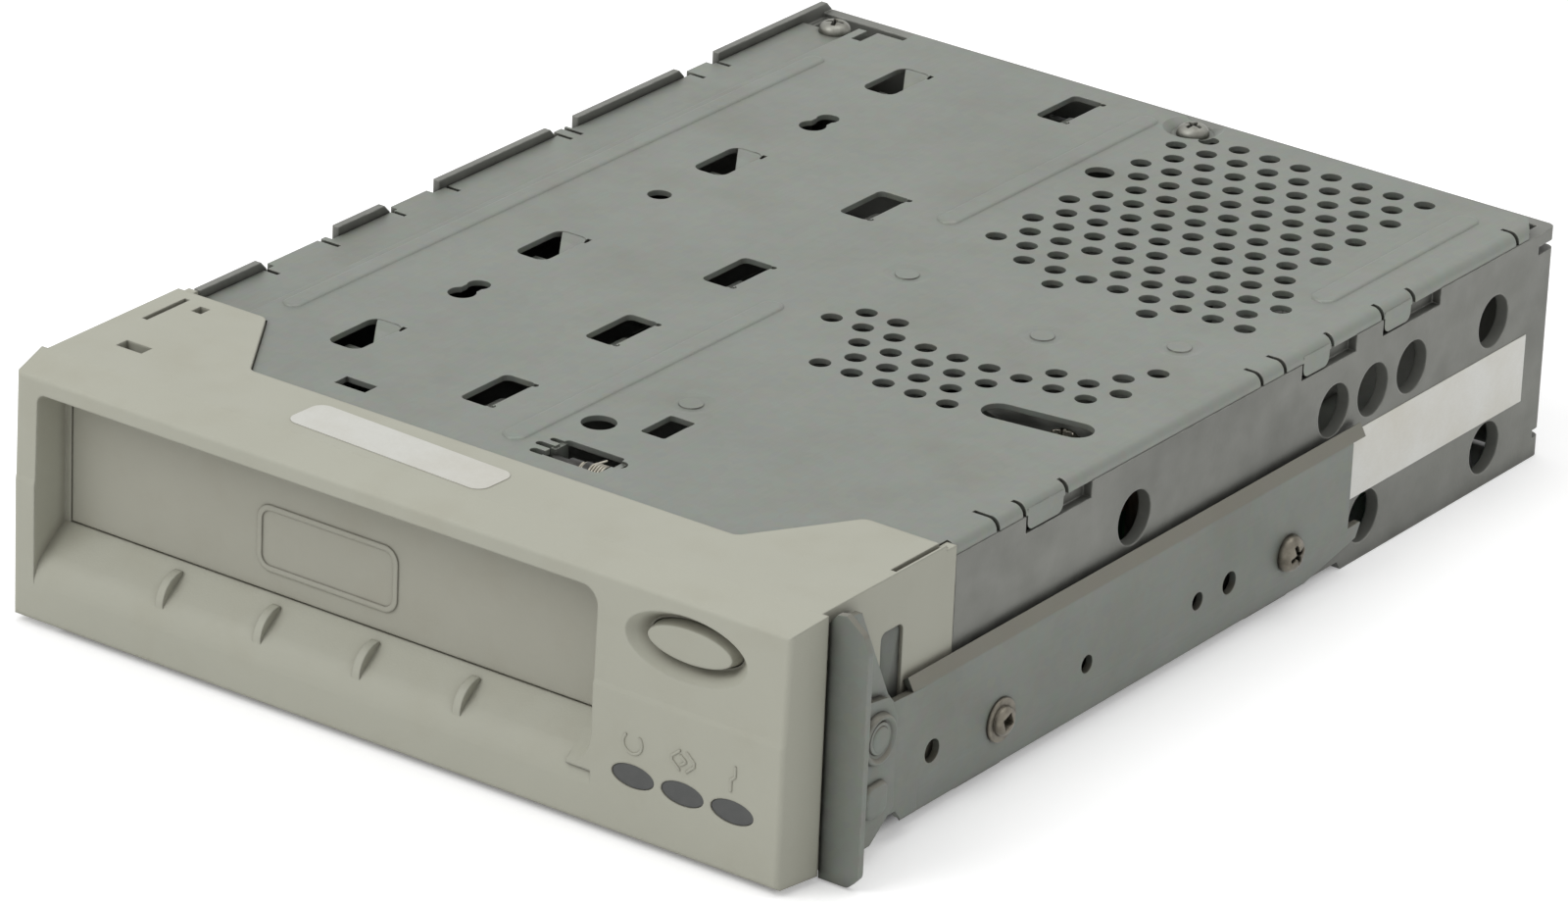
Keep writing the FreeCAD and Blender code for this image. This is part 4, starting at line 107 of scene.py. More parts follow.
def photograph_camera():
    """The camera at the photograph's place, its axes worked out from azimuth, elevation and roll."""
    a, e, roll = (math.radians(v) for v in (CAMERA_AZIMUTH, CAMERA_ELEVATION, CAMERA_ROLL))
    back = Vector((math.sin(a) * math.cos(e), -math.cos(a) * math.cos(e), math.sin(e)))
    level = Vector((math.cos(a), math.sin(a), 0))
    up = back.cross(level)
    right = math.cos(roll) * level + math.sin(roll) * up
    top = -math.sin(roll) * level + math.cos(roll) * up
    data = bpy.data.cameras.new("photograph_camera")
    data.lens = CAMERA_LENS
    data.sensor_width = 36.0
    data.clip_start = 0.1
    data.clip_end = 20.0
    camera = bpy.data.objects.new("photograph_camera", data)
    turn = Matrix((right, top, back)).transposed()
    camera.matrix_world = Matrix.Translation(CAMERA_PLACE) @ turn.to_4x4()
    bpy.context.scene.collection.objects.link(camera)
    bpy.context.scene.camera = camera


# Shader nodes
def add(tree, kind, inputs=None, **settings):
    """A shader node with its settings, each input given as a number, a colour or a socket to link."""
    made = tree.nodes.new(kind)
    for key, value in settings.items():
        setattr(made, key, value)
    for key, value in (inputs or {}).items():
        if isinstance(value, bpy.types.NodeSocket):
            tree.links.new(value, made.inputs[key])
        else:
            made.inputs[key].default_value = value
    return made


def linear(red, green, blue):
    """A colour given as display values from 0 to 255, as the linear value that a shader takes."""
    parts = [v / 255 for v in (red, green, blue)]
    parts = [v / 12.92 if v <= 0.04045 else ((v + 0.055) / 1.055) ** 2.4 for v in parts]
    return (*parts, 1.0)


def shade(colour, share):
    """A colour made darker by a share, with its alpha at 1."""
    return (*(v * share for v in colour[:3]), 1.0)


def coordinates(tree, stretch=(1, 1, 1)):
    """Object coordinates, stretched along each axis."""
    source = add(tree, "ShaderNodeTexCoord").outputs["Object"]
    return add(tree, "ShaderNodeMapping", {"Vector": source, "Scale": stretch}).outputs["Vector"]


def cloud(tree, size_mm, detail=3.0, stretch=(1, 1, 1), roughness=0.55):
    """Soft noise whose blotches are about size_mm across."""
    return add(tree, "ShaderNodeTexNoise", {"Vector": coordinates(tree, stretch), "Scale": 1 / (size_mm * MM),
                                            "Detail": detail, "Roughness": roughness}).outputs["Fac"]


def ramp(tree, value, low, high, out_low, out_high):
    """A value carried from one span to another, held at the ends."""
    return add(tree, "ShaderNodeMapRange", {"Value": value, "From Min": low, "From Max": high,
                                            "To Min": out_low, "To Max": out_high}).outputs["Result"]


def both(tree, operation, first, second):
    """Two values joined by a sum, product, greatest or least."""
    return add(tree, "ShaderNodeMath", {0: first, 1: second}, operation=operation).outputs[0]


def tint(tree, amount, first, second, blend="MIX"):
    """One colour blended into another by an amount."""
    made = add(tree, "ShaderNodeMix", {0: amount, 6: first, 7: second}, data_type="RGBA", blend_type=blend)
    return made.outputs[2]


def corner_shade_mask(tree, reach_mm, closed=0.35, clear=0.95):
    """1 in corners and joints that face something within reach, 0 in the open: ambient occlusion, used as a
    mask for painted shade where shade falls. The last two are how open the surface is at either end; a short
    reach marks only the root of a step or a narrow joint."""
    hidden = add(tree, "ShaderNodeAmbientOcclusion", {"Distance": reach_mm * MM}, samples=6)
    return ramp(tree, hidden.outputs["AO"], closed, clear, 1.0, 0.0)


def facing_up(tree):
    """1 on faces that look up, where dust settles and hands rub, 0 on the rest."""
    normal = add(tree, "ShaderNodeNewGeometry").outputs["Normal"]
    upward = add(tree, "ShaderNodeSeparateXYZ", {0: normal}).outputs["Z"]
    return ramp(tree, upward, 0.25, 0.45, 0.0, 1.0)


def rounded_normal(tree, radius_mm):
    """The normal of the surface with its edges rounded by a radius."""
    return add(tree, "ShaderNodeBevel", {"Radius": radius_mm * MM}, samples=6).outputs["Normal"]


def worn_edge(tree, radius_mm):
    """1 along edges, 0 on flat faces: how far the rounded normal turns from the plain one."""
    plain = add(tree, "ShaderNodeNewGeometry").outputs["Normal"]
    alike = add(tree, "ShaderNodeVectorMath", {0: rounded_normal(tree, radius_mm), 1: plain},
                operation="DOT_PRODUCT").outputs["Value"]
    return ramp(tree, alike, 0.80, 0.985, 1.0, 0.0)


def new_finish(name, metallic=0.0, specular=0.5):
    """An empty finish: its material, node tree and shader."""
    material = bpy.data.materials.new(name)
    material.use_nodes = True
    tree = material.node_tree
    shader = tree.nodes["Principled BSDF"]
    shader.inputs["Metallic"].default_value = metallic
    shader.inputs["Specular IOR Level"].default_value = specular
    return material, tree, shader


def connect(tree, shader, colour, roughness, height, depth_mm, edge_mm):
    """The finish's colour, roughness and relief joined to its shader, over rounded edges."""
    relief = add(tree, "ShaderNodeBump", {"Height": height, "Strength": 1.0, "Distance": depth_mm * MM,
                                          "Normal": rounded_normal(tree, edge_mm)})
    tree.links.new(colour, shader.inputs["Base Color"])
    tree.links.new(roughness, shader.inputs["Roughness"])
    tree.links.new(relief.outputs["Normal"], shader.inputs["Normal"])


def moulded_bezel_plastic(name, base, grime, seam_grime_and_shade_colour, seam_grime_and_shade_share=0.65, edge_mm=0.5):
    """Warm grey spark-textured plastic, a little uneven, with painted shade and some grime in its corners and
    gaps.
    """
    material, tree, shader = new_finish(name, specular=0.35)
    uneven = tint(tree, ramp(tree, cloud(tree, 38.0), 0.35, 0.65, 0.0, 1.0), base, shade(base, 0.97))
    faded = tint(tree, ramp(tree, cloud(tree, 9.0, 4.0), 0.5, 0.8, 0.0, 0.25), uneven, grime)
    # Painted shade with some grime: darker, toward the seam colour, where ambient occlusion finds corners and
    # gaps.
    corner_grime_and_shade = both(tree, "MULTIPLY", corner_shade_mask(tree, 2.2), ramp(tree, cloud(tree, 5.0), 0.25, 0.7, 0.55, 1.0))
    colour = tint(tree, both(tree, "MULTIPLY", corner_grime_and_shade, seam_grime_and_shade_share), faded, seam_grime_and_shade_colour)
    rough = ramp(tree, cloud(tree, 14.0), 0.3, 0.7, 0.52, 0.66)
    grain = both(tree, "ADD", cloud(tree, 0.35, 2.0), both(tree, "MULTIPLY", cloud(tree, 1.4, 2.0), 0.6))
    connect(tree, shader, colour, rough, grain, 0.02, edge_mm)
    return material


def pressed_steel(name, base, stain, grime_and_shade_colour, bare, dusty=0.0, metallic=0.45, edge_mm=0.25):
    """Galvanised sheet with a satin grey-green face, faint rolling lines, stains, painted shade with some
    grime in its corners, a painted shadow line at the root of each step and joint, and rubbed edges; dusty is
    how much brown dust lies on the faces that look up."""
    material, tree, shader = new_finish(name, metallic=metallic, specular=0.4)
    broad = tint(tree, ramp(tree, cloud(tree, 45.0, 2.0), 0.35, 0.68, 0.0, 1.0), base, shade(base, 0.93))
    handled = tint(tree, ramp(tree, cloud(tree, 16.0, 4.0), 0.52, 0.78, 0.0, 0.4), broad, stain)
    spangle = add(tree, "ShaderNodeTexVoronoi", {"Vector": coordinates(tree), "Scale": 1 / (1.6 * MM)})
    flecked = tint(tree, 0.03, handled, spangle.outputs["Color"], "OVERLAY")
    if dusty:
        dust = both(tree, "MULTIPLY", facing_up(tree), dusty)
        flecked = tint(tree, dust, flecked, linear(118, 114, 103))
    # Painted shade with some grime: darker where ambient occlusion finds corners within 3 mm.
    grime_and_shade_mask = both(tree, "MULTIPLY", corner_shade_mask(tree, 3.0), ramp(tree, cloud(tree, 4.0), 0.3, 0.7, 0.5, 1.0))
    grimed_and_shaded = tint(tree, both(tree, "MULTIPLY", grime_and_shade_mask, 0.8), flecked, grime_and_shade_colour)
    # A painted shadow line, with a little grime, along the root of each step and narrow joint.
    seam_shadow_and_grime = both(tree, "MULTIPLY", corner_shade_mask(tree, 1.2, 0.55, 0.85), 0.75)
    grimed_and_shaded = tint(tree, seam_shadow_and_grime, grimed_and_shaded, grime_and_shade_colour)
    rubbed = both(tree, "MULTIPLY", worn_edge(tree, edge_mm),
                  ramp(tree, cloud(tree, 3.0), 0.4, 0.7, 0.15, 0.8))
    colour = tint(tree, rubbed, grimed_and_shaded, bare)
    rolled = cloud(tree, 0.5, 2.0, stretch=(1.0, 0.04, 1.0))
    rough = both(tree, "ADD", ramp(tree, cloud(tree, 14.0, 3.0), 0.3, 0.7, 0.42, 0.52),
                 ramp(tree, rolled, 0.3, 0.7, -0.02, 0.02))
    connect(tree, shader, colour, rough, rolled, 0.004, edge_mm)
    return material


def cast_alloy(name, base, skin, grime_and_shade_colour, bare, metallic=0.35, edge_mm=0.5):
    """Pressure-cast alloy: a dull skin with flow clouds, fine pitting, painted shade with some grime in its
    corners and bright rubbed corners.
    """
    material, tree, shader = new_finish(name, metallic=metallic, specular=0.4)
    clouds = cloud(tree, 22.0, 5.0, stretch=(1, 0.4, 1))
    flow = tint(tree, ramp(tree, clouds, 0.35, 0.7, 0.0, 1.0), base, skin)
    # Painted shade with some grime: darker where ambient occlusion finds corners within 3 mm.
    grime_and_shade_mask = both(tree, "MULTIPLY", corner_shade_mask(tree, 3.0), ramp(tree, cloud(tree, 5.0), 0.3, 0.7, 0.5, 1.0))
    grimed_and_shaded = tint(tree, both(tree, "MULTIPLY", grime_and_shade_mask, 0.75), flow, grime_and_shade_colour)
    rubbed = both(tree, "MULTIPLY", worn_edge(tree, edge_mm),
                  ramp(tree, cloud(tree, 2.5), 0.35, 0.7, 0.2, 0.9))
    colour = tint(tree, rubbed, grimed_and_shaded, bare)
    rough = ramp(tree, cloud(tree, 6.0, 4.0), 0.3, 0.7, 0.42, 0.62)
    pitting = both(tree, "ADD", cloud(tree, 0.6, 3.0), both(tree, "MULTIPLY", cloud(tree, 3.0, 2.0), 0.7))
    connect(tree, shader, colour, rough, pitting, 0.025, edge_mm)
    return material


def plated_steel(name, base, dull, grind_mm=0.25, rough_span=(0.24, 0.42), edge_mm=0.12):
    """Nickel or zinc plated steel with fine turning marks, dull handled patches and painted shade in its
    corners and joints.
    """
    material, tree, shader = new_finish(name, metallic=0.9)
    patchy = tint(tree, ramp(tree, cloud(tree, 2.2, 4.0), 0.4, 0.72, 0.0, 0.8), base, dull)
    # Painted shade: darker in corners and joints, toward a deep copy of the dull colour.
    darker = tint(tree, both(tree, "MULTIPLY", corner_shade_mask(tree, 1.2), 0.7), patchy, shade(dull, 0.22))
    rough = ramp(tree, cloud(tree, 1.4, 4.0), 0.3, 0.7, *rough_span)
    connect(tree, shader, darker, rough, cloud(tree, grind_mm, 2.0), 0.004, edge_mm)
    return material


def plain_moulding(name, base, dust, rough_span=(0.4, 0.55), grain_mm=0.5, edge_mm=0.25):
    """Unpainted moulding: even colour with a little dust and painted shade in its corners and a fine mould
    grain.
    """
    material, tree, shader = new_finish(name, specular=0.45)
    uneven = tint(tree, ramp(tree, cloud(tree, 7.0, 4.0), 0.4, 0.7, 0.0, 0.5), base, dust)
    # Painted shade, in the dust colour, with a little dust, in corners that ambient occlusion finds.
    dusty = tint(tree, both(tree, "MULTIPLY", corner_shade_mask(tree, 1.6), 0.35), uneven, dust)
    rough = ramp(tree, cloud(tree, 3.0, 3.0), 0.3, 0.7, *rough_span)
    connect(tree, shader, dusty, rough, cloud(tree, grain_mm, 2.0), 0.008, edge_mm)
    return material


def smoked_lens(name, base, haze):
    """Smoked see-through plastic over a dark well: glossy, with a faint haze of fine scratches."""
    material, tree, shader = new_finish(name, specular=0.5)
    shader.inputs["Coat Weight"].default_value = 0.35
    shader.inputs["Coat Roughness"].default_value = 0.18
    hazy = tint(tree, ramp(tree, cloud(tree, 1.8, 4.0), 0.4, 0.75, 0.0, 0.5), base, haze)
    rough = ramp(tree, cloud(tree, 0.8, 3.0, stretch=(1, 1, 6)), 0.3, 0.7, 0.28, 0.45)
    connect(tree, shader, hazy, rough, cloud(tree, 0.5, 2.0), 0.003, 0.15)
    return material


def board_laminate(name, mask, copper, shadow):
    """Green solder mask over fine copper tracks: stepped lines along both axes, and plated dots."""
    material, tree, shader = new_finish(name, specular=0.5)
    along = add(tree, "ShaderNodeTexBrick", {"Vector": coordinates(tree), "Scale": 1 / (5.0 * MM),
                                             "Mortar Size": 0.035, "Mortar Smooth": 0.2, "Bias": 0.0,
                                             "Brick Width": 2.6, "Row Height": 0.25}, offset=0.37)
    across = add(tree, "ShaderNodeTexBrick", {"Vector": coordinates(tree, (0.8, 1.1, 1.0)),
                                              "Scale": 1 / (7.0 * MM), "Mortar Size": 0.025,
                                              "Brick Width": 0.31, "Row Height": 2.2}, offset=0.41)
    tracks = both(tree, "MAXIMUM", along.outputs["Fac"], across.outputs["Fac"])
    routed = both(tree, "MULTIPLY", tracks, ramp(tree, cloud(tree, 11.0, 2.0), 0.46, 0.54, 0.0, 1.0))
    dots = add(tree, "ShaderNodeTexVoronoi", {"Vector": coordinates(tree), "Scale": 1 / (3.4 * MM)})
    plated = ramp(tree, dots.outputs["Distance"], 0.10, 0.13, 1.0, 0.0)
    masked = tint(tree, both(tree, "MULTIPLY", routed, 0.8), mask, copper)
    dotted = tint(tree, plated, masked, linear(186, 176, 140))
    colour = tint(tree, both(tree, "MULTIPLY", corner_shade_mask(tree, 2.0), 0.6), dotted, shadow)
    rough = ramp(tree, cloud(tree, 6.0), 0.3, 0.7, 0.3, 0.42)
    connect(tree, shader, colour, rough, routed, 0.03, 0.1)
    return material


def label_stock(name, base, aged):
    """White label paper: fine fibre, slight yellowing in clouds and lifted, softer edges."""
    material, tree, shader = new_finish(name, specular=0.3)
    faded = tint(tree, ramp(tree, cloud(tree, 16.0, 4.0), 0.38, 0.7, 0.0, 0.8), base, aged)
    fibre = cloud(tree, 0.3, 4.0, stretch=(1, 0.35, 1))
    colour = tint(tree, ramp(tree, fibre, 0.35, 0.7, 0.0, 0.12), faded, shade(aged, 0.8))
    rough = ramp(tree, cloud(tree, 2.0, 3.0), 0.3, 0.7, 0.45, 0.6)
    connect(tree, shader, colour, rough, fibre, 0.004, 0.05)
    return material


def ground_rubber(name, base, bloom):
    """Ground rubber tyre: near black with a grey bloom and grinding lines round it."""
    material, tree, shader = new_finish(name, specular=0.25)
    colour = tint(tree, ramp(tree, cloud(tree, 2.6, 4.0), 0.42, 0.72, 0.0, 0.6), base, bloom)
    rough = ramp(tree, cloud(tree, 1.5, 3.0), 0.3, 0.7, 0.7, 0.88)
    connect(tree, shader, colour, rough, cloud(tree, 0.3, 2.0, stretch=(1, 1, 5)), 0.01, 0.2)
    return material


def flat_cable_plastic(name, base, groove_shade, pitch_mm):
    """Ribbon of round cores side by side: a bump and a darker line of painted shade in the groove at each
    core's pitch along x.
    """
    material, tree, shader = new_finish(name, specular=0.4)
    cores = add(tree, "ShaderNodeTexWave", {"Vector": coordinates(tree), "Scale": 1 / (pitch_mm * MM) / 20,
                                            "Distortion": 0.0}, bands_direction="X").outputs["Fac"]
    # The darker line in each groove between cores is painted shade.
    colour = tint(tree, ramp(tree, cores, 0.0, 0.35, 0.7, 0.0), base, groove_shade)
    rough = ramp(tree, cloud(tree, 3.0), 0.3, 0.7, 0.42, 0.55)
    connect(tree, shader, colour, rough, cores, 0.15, 0.1)
    return material


def flexible_film(name, base, copper):
    """Amber film with fine copper lines that run along it."""
    material, tree, shader = new_finish(name, specular=0.5)
    lines = add(tree, "ShaderNodeTexWave", {"Vector": coordinates(tree), "Scale": 1 / (0.8 * MM) / 20,
                                            "Distortion": 0.0}, bands_direction="Z").outputs["Fac"]
    colour = tint(tree, ramp(tree, lines, 0.55, 0.7, 0.0, 0.8), base, copper)
    rough = ramp(tree, cloud(tree, 3.0), 0.3, 0.7, 0.22, 0.34)
    connect(tree, shader, colour, rough, lines, 0.01, 0.05)
    return material


# The finishes of this drive, their colours as they look in plain light
def finishes():
    """Every finish by the name of the record's material slot, and a few that stand beside them."""
    return {
        # The third colour of the bezel, button, door, steel and alloy finishes is the painted shade, with
        # some grime, of their corners and joints; the cable's second colour is painted shade in its grooves.
        "bezel_plastic": moulded_bezel_plastic("bezel_plastic", linear(166, 166, 153),
                                               linear(151, 147, 130), linear(92, 86, 74)),
        "button_plastic": moulded_bezel_plastic("button_plastic", linear(164, 164, 151),
                                                linear(156, 151, 136), linear(104, 98, 86), 0.4),
        "door_plastic": moulded_bezel_plastic("door_plastic", linear(156, 155, 143), linear(144, 139, 123),
                                              linear(86, 80, 68)),
        "sheet_steel": pressed_steel("sheet_steel", linear(130, 134, 127), linear(118, 118, 108),
                                     linear(54, 52, 46), linear(152, 154, 146)),
        "rail_steel": pressed_steel("rail_steel", linear(119, 123, 116), linear(108, 106, 96),
                                    linear(48, 46, 41), linear(142, 142, 132), dusty=0.7),
        "lug_steel": pressed_steel("lug_steel", linear(97, 100, 94), linear(88, 88, 80),
                                   linear(40, 39, 35), linear(118, 118, 110)),
        "cast_alloy": cast_alloy("cast_alloy", linear(126, 127, 121), linear(108, 109, 104),
                                 linear(46, 45, 42), linear(164, 164, 158)),
        "bright_steel": plated_steel("bright_steel", linear(164, 160, 148), linear(120, 115, 103)),
        "dull_steel": plated_steel("dull_steel", linear(140, 140, 133), linear(104, 102, 94),
                                   0.3, (0.38, 0.55)),
        "worn_steel": plated_steel("worn_steel", linear(122, 117, 106), linear(80, 76, 68),
                                   0.3, (0.3, 0.44)),
        "dark_steel": plated_steel("dark_steel", linear(70, 70, 68), linear(48, 47, 45), 0.3, (0.35, 0.5)),
        "motor_steel": plated_steel("motor_steel", linear(172, 172, 168), linear(136, 136, 132),
                                    0.6, (0.3, 0.45), 0.3),
        "head_metal": plated_steel("head_metal", linear(206, 204, 198), linear(176, 172, 164),
                                   0.1, (0.12, 0.24)),
        "pinion_brass": plated_steel("pinion_brass", linear(206, 178, 108), linear(150, 118, 60),
                                     0.2, (0.25, 0.4)),
        "lens_plastic": smoked_lens("lens_plastic", linear(50, 52, 51), linear(64, 65, 63)),
        "lamp_plastic": plain_moulding("lamp_plastic", linear(120, 172, 96), linear(150, 178, 130),
                                       (0.2, 0.3)),
        "black_plastic": plain_moulding("black_plastic", linear(44, 44, 45), linear(70, 69, 66)),
        "white_plastic": plain_moulding("white_plastic", linear(222, 218, 202), linear(196, 188, 164)),
        "cable_plastic": flat_cable_plastic("cable_plastic", linear(168, 168, 166), linear(96, 96, 98),
                                            1.27),
        "flex_film": flexible_film("flex_film", linear(176, 112, 40), linear(206, 130, 62)),
        "board_laminate": board_laminate("board_laminate", linear(26, 92, 56), linear(58, 128, 78),
                                         linear(12, 34, 22)),
        "puck_rubber": ground_rubber("puck_rubber", linear(52, 50, 50), linear(84, 82, 80)),
        "label_paper": label_stock("label_paper", linear(222, 222, 217), linear(210, 207, 196)),
        "label_film": label_stock("label_film", linear(196, 196, 190), linear(184, 181, 170)),
    }


def dress(thing, material):
    """One finish over the whole of a piece."""
    thing.data.materials.clear()
    thing.data.materials.append(material)
    return thing


# Surfaces worked out on grids
def rounded_form(name, rows, material, body, slot, first_pole=None, last_pole=None, sharp=35.0):
    """A closed form from rows of points, each row a ring: quads between rows, triangles to the poles."""
    count, across = rows.shape[:2]
    row, column = np.meshgrid(np.arange(count - 1), np.arange(across), indexing="ij")
    following = (column + 1) % across
    quads = np.stack([row * across + column, row * across + following,
                      (row + 1) * across + following, (row + 1) * across + column], -1).reshape(-1, 4)
    points = [rows.reshape(-1, 3)]
    faces = quads.tolist()
    ring = np.arange(across)
    if first_pole is not None:
        points.append(np.asarray(first_pole, float).reshape(1, 3))
        pole = np.full(across, count * across)
        faces += np.stack([pole, (ring + 1) % across, ring], -1).tolist()
    if last_pole is not None:
        points.append(np.asarray(last_pole, float).reshape(1, 3))
        pole = np.full(across, count * across + (first_pole is not None))
        base = (count - 1) * across
        faces += np.stack([pole, base + ring, base + (ring + 1) % across], -1).tolist()
    mesh = bpy.data.meshes.new(name)
    mesh.from_pydata(np.concatenate(points).tolist(), [], faces)
    mesh.polygons.foreach_set("use_smooth", np.ones(len(faces), bool))
    mesh.set_sharp_from_angle(angle=math.radians(sharp))
    mesh.update()
    thing = bpy.data.objects.new(name, mesh)
    bpy.context.scene.collection.objects.link(thing)
    dress(thing, material)
    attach(thing, body)
    return thing


def joined(name, things):
    """Several pieces made one, under the first one's body and finish."""
    bpy.ops.object.select_all(action="DESELECT")
    for thing in things:
        thing.select_set(True)
    bpy.context.view_layer.objects.active = things[0]
    if len(things) > 1:
        bpy.ops.object.join()
    things[0].name = name
    return things[0]


def smooth(value):
    """0 below 0, 1 above 1, and an even s-curve between."""
    t = np.clip(value, 0, 1)
    return t * t * (3 - 2 * t)


def cross_recess(x, y, reach, width, depth):
    """A cross recess: depth where either arm covers the point, with sloping arm ends and walls."""
    arm_x = smooth((width / 2 - np.abs(y)) / (width * 0.25)) * smooth((reach - np.abs(x)) / (reach * 0.35))
    arm_y = smooth((width / 2 - np.abs(x)) / (width * 0.25)) * smooth((reach - np.abs(y)) / (reach * 0.35))
    return depth * np.maximum(arm_x, arm_y)


def square_recess(x, y, half, depth, turn):
    """A square socket turned by an angle, with steep walls and a flat floor."""
    across = x * math.cos(turn) + y * math.sin(turn)
    along = y * math.cos(turn) - x * math.sin(turn)
    return depth * smooth((half - np.maximum(np.abs(across), np.abs(along))) / (half * 0.22))


def screw_head(name, centre, outward, radius, high, material, recess, crown=3.2, washer=None):
    """A turned head. Its height over the seat is high * (1 - (r / radius) ** crown) ** 0.45, less
    the recess at that point; a washer is a low flat ring under it, given by its radius and height.
    Its back is flat and closed."""
    outward = np.asarray(outward, float)
    side = np.array([0.0, 1.0, 0.0]) if abs(outward[1]) < 0.5 else np.array([1.0, 0.0, 0.0])
    other = np.cross(outward, side)
    step = np.linspace(0, 1, 34)[1:]
    reach = radius * np.sin(step * math.pi / 2)
    height = high * np.clip(1 - (reach / radius) ** crown, 0, 1) ** 0.45
    if washer:
        rim, thick = washer
        reach = np.concatenate([reach, rim * np.array([0.90, 0.97, 1.0, 1.0])])
        height = np.concatenate([np.maximum(height, thick), thick * np.array([1.0, 0.9, 0.6, 0.0])])
    angle = np.linspace(0, 2 * math.pi, 96, endpoint=False)
    x = reach[:, None] * np.cos(angle)
    y = reach[:, None] * np.sin(angle)
    rise = height[:, None] - recess(x, y)
    rows = np.asarray(centre) + x[..., None] * side + y[..., None] * other + rise[..., None] * outward
    top = np.asarray(centre) + (high - float(recess(np.zeros(1), np.zeros(1))[0])) * outward
    seat = np.asarray(centre)
    return rounded_form(name, rows, material, "chassis", "bright_steel", first_pole=top, last_pole=seat,
                        sharp=40.0)


def pan_heads(name, places, outward, radius, high, material):
    """Pan heads with a cross recess at each place in the drive's millimetres, each turned its own way."""
    heads = []
    for number, spot in enumerate(places):
        turn = 0.35 + 1.1 * number

        def recess(x, y, turn=turn):
            u = x * math.cos(turn) + y * math.sin(turn)
            v = y * math.cos(turn) - x * math.sin(turn)
            return cross_recess(u, v, radius * 0.62, radius * 0.30, high * 0.62)
        heads.append(screw_head(name + "_" + str(number + 1), place(*spot), outward, radius, high,
                                material, recess))
    return heads


def screws(name, node, heads):
    """The heads of one node's screws as one piece that stands for them."""
    whole = joined(name, heads)
    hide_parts(node)
    return whole


def coil_path(start, along, first, radius, length, turns, before=None, after=None):
    """Points of a coil: start + t * length * along + radius * (cos(2 pi n t) * first + sin(2 pi n t)
    * along x first) for t from 0 to 1 and n turns, with a straight tail of its own at either end."""
    start, along, first = (np.asarray(v, float) for v in (start, along, first))
    t = np.linspace(0, 1, int(turns * 28))[:, None]
    angle = 2 * math.pi * turns * t
    path = start + t * length * along
    path = path + radius * (np.cos(angle) * first + np.sin(angle) * np.cross(along, first))
    step = np.linspace(0, 1, 8)[:, None]
    if before is not None:
        path = np.concatenate([path[0] + step[:0:-1] * np.asarray(before), path])
    if after is not None:
        path = np.concatenate([path, path[-1] + step[1:] * np.asarray(after)])
    return path


def spring_wire(name, path, axis, radius, material, body):
    """A spring's round wire: path(t) + radius * (cos(a) * first + sin(a) * second), where second is
    square to the path and first lies across it in the plane of the coil's axis; both ends are closed."""
    side = np.tile(np.asarray(axis, float), (len(path), 1))
    along = np.gradient(path, axis=0)
    along /= np.linalg.norm(along, axis=1)[:, None]
    first = side - (side * along).sum(1)[:, None] * along
    first /= np.linalg.norm(first, axis=1)[:, None]
    second = np.cross(along, first)
    angle = np.linspace(0, 2 * math.pi, 12, endpoint=False)[:, None]
    rows = path[:, None] + radius * (np.cos(angle) * first[:, None] + np.sin(angle) * second[:, None])
    return rounded_form(name, rows[:, ::-1], material, body, "bright_steel",
                        first_pole=path[0], last_pole=path[-1])


def turned_pin(name, start, length, profile, material, body):
    """A pin along x. Each ring of the profile is its share of the length and its radius in
    millimetres: x = start + share * length, y = radius * cos(a), z = -radius * sin(a)."""
    profile = np.asarray(profile, float)
    angle = np.linspace(0, 2 * math.pi, 48, endpoint=False)
    x = start[0] + profile[:, 0] * length
    y = start[1] + profile[:, 1:] * MM * np.cos(angle)
    z = start[2] - profile[:, 1:] * MM * np.sin(angle)
    rows = np.stack([np.broadcast_to(x[:, None], y.shape), y, z], -1)
    last = (start[0] + length, start[1], start[2])
    return rounded_form(name, rows[:, ::-1], material, body, "bright_steel", first_pole=start, last_pole=last)


def latch_pin_and_spring(wire_finish, pin_finish):
    """The front notch's spring: close turns round the right end of a pin between the cover's two
    tabs, with one tail back to the notch's edge, and two turns of a hook at the pin's middle."""
    along, wire = (1, 0, 0), 0.25 * MM
    left, middle, close, right = (place(x, 30.6, 40.0) for x in (7.2, 12.9, 14.9, 17.8))
    turned_pin("latch_pin", left, right[0] - left[0],
               [(0.0, 1.3), (0.30, 1.3), (0.31, 1.7), (0.52, 1.7), (0.525, 1.3), (0.585, 1.3),
                (0.59, 1.9), (0.71, 1.9), (0.715, 1.5), (1.0, 1.5)], pin_finish, "chassis")
    turns = coil_path(close, along, (0, -0.2, 0.98), 1.95 * MM, 2.3 * MM, 4.5,
                      before=np.array([0.7, 2.6, 0.0]) * MM)
    hook = coil_path(middle, along, (0, 0, 1), 1.6 * MM, 0.75 * MM, 2.0)
    whole = joined("latch_spring_wire", [spring_wire(name, path, along, wire, wire_finish, "chassis")
                                         for name, path in (("latch_spring_wire", turns),
                                                            ("hook", hook))])
    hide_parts("latch_spring")


def button_spring_wire(material):
    """The button's return spring: a coil of wire that fills the node's box, with a mesh of its own."""
    low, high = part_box("button_spring")
    wire = 0.25 * MM
    x, z = (low.x + high.x) / 2, (low.z + high.z) / 2
    reach = high.y - low.y - 2 * wire
    path = coil_path((x, low.y + wire, z), (0, 1, 0), (1, 0, 0), (high.x - low.x) / 2 - wire, reach, 2.5)
    spring = spring_wire("button_spring_wire", path, (0, 1, 0), wire, material, "chassis")
    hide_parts("button_spring")
    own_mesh(spring)


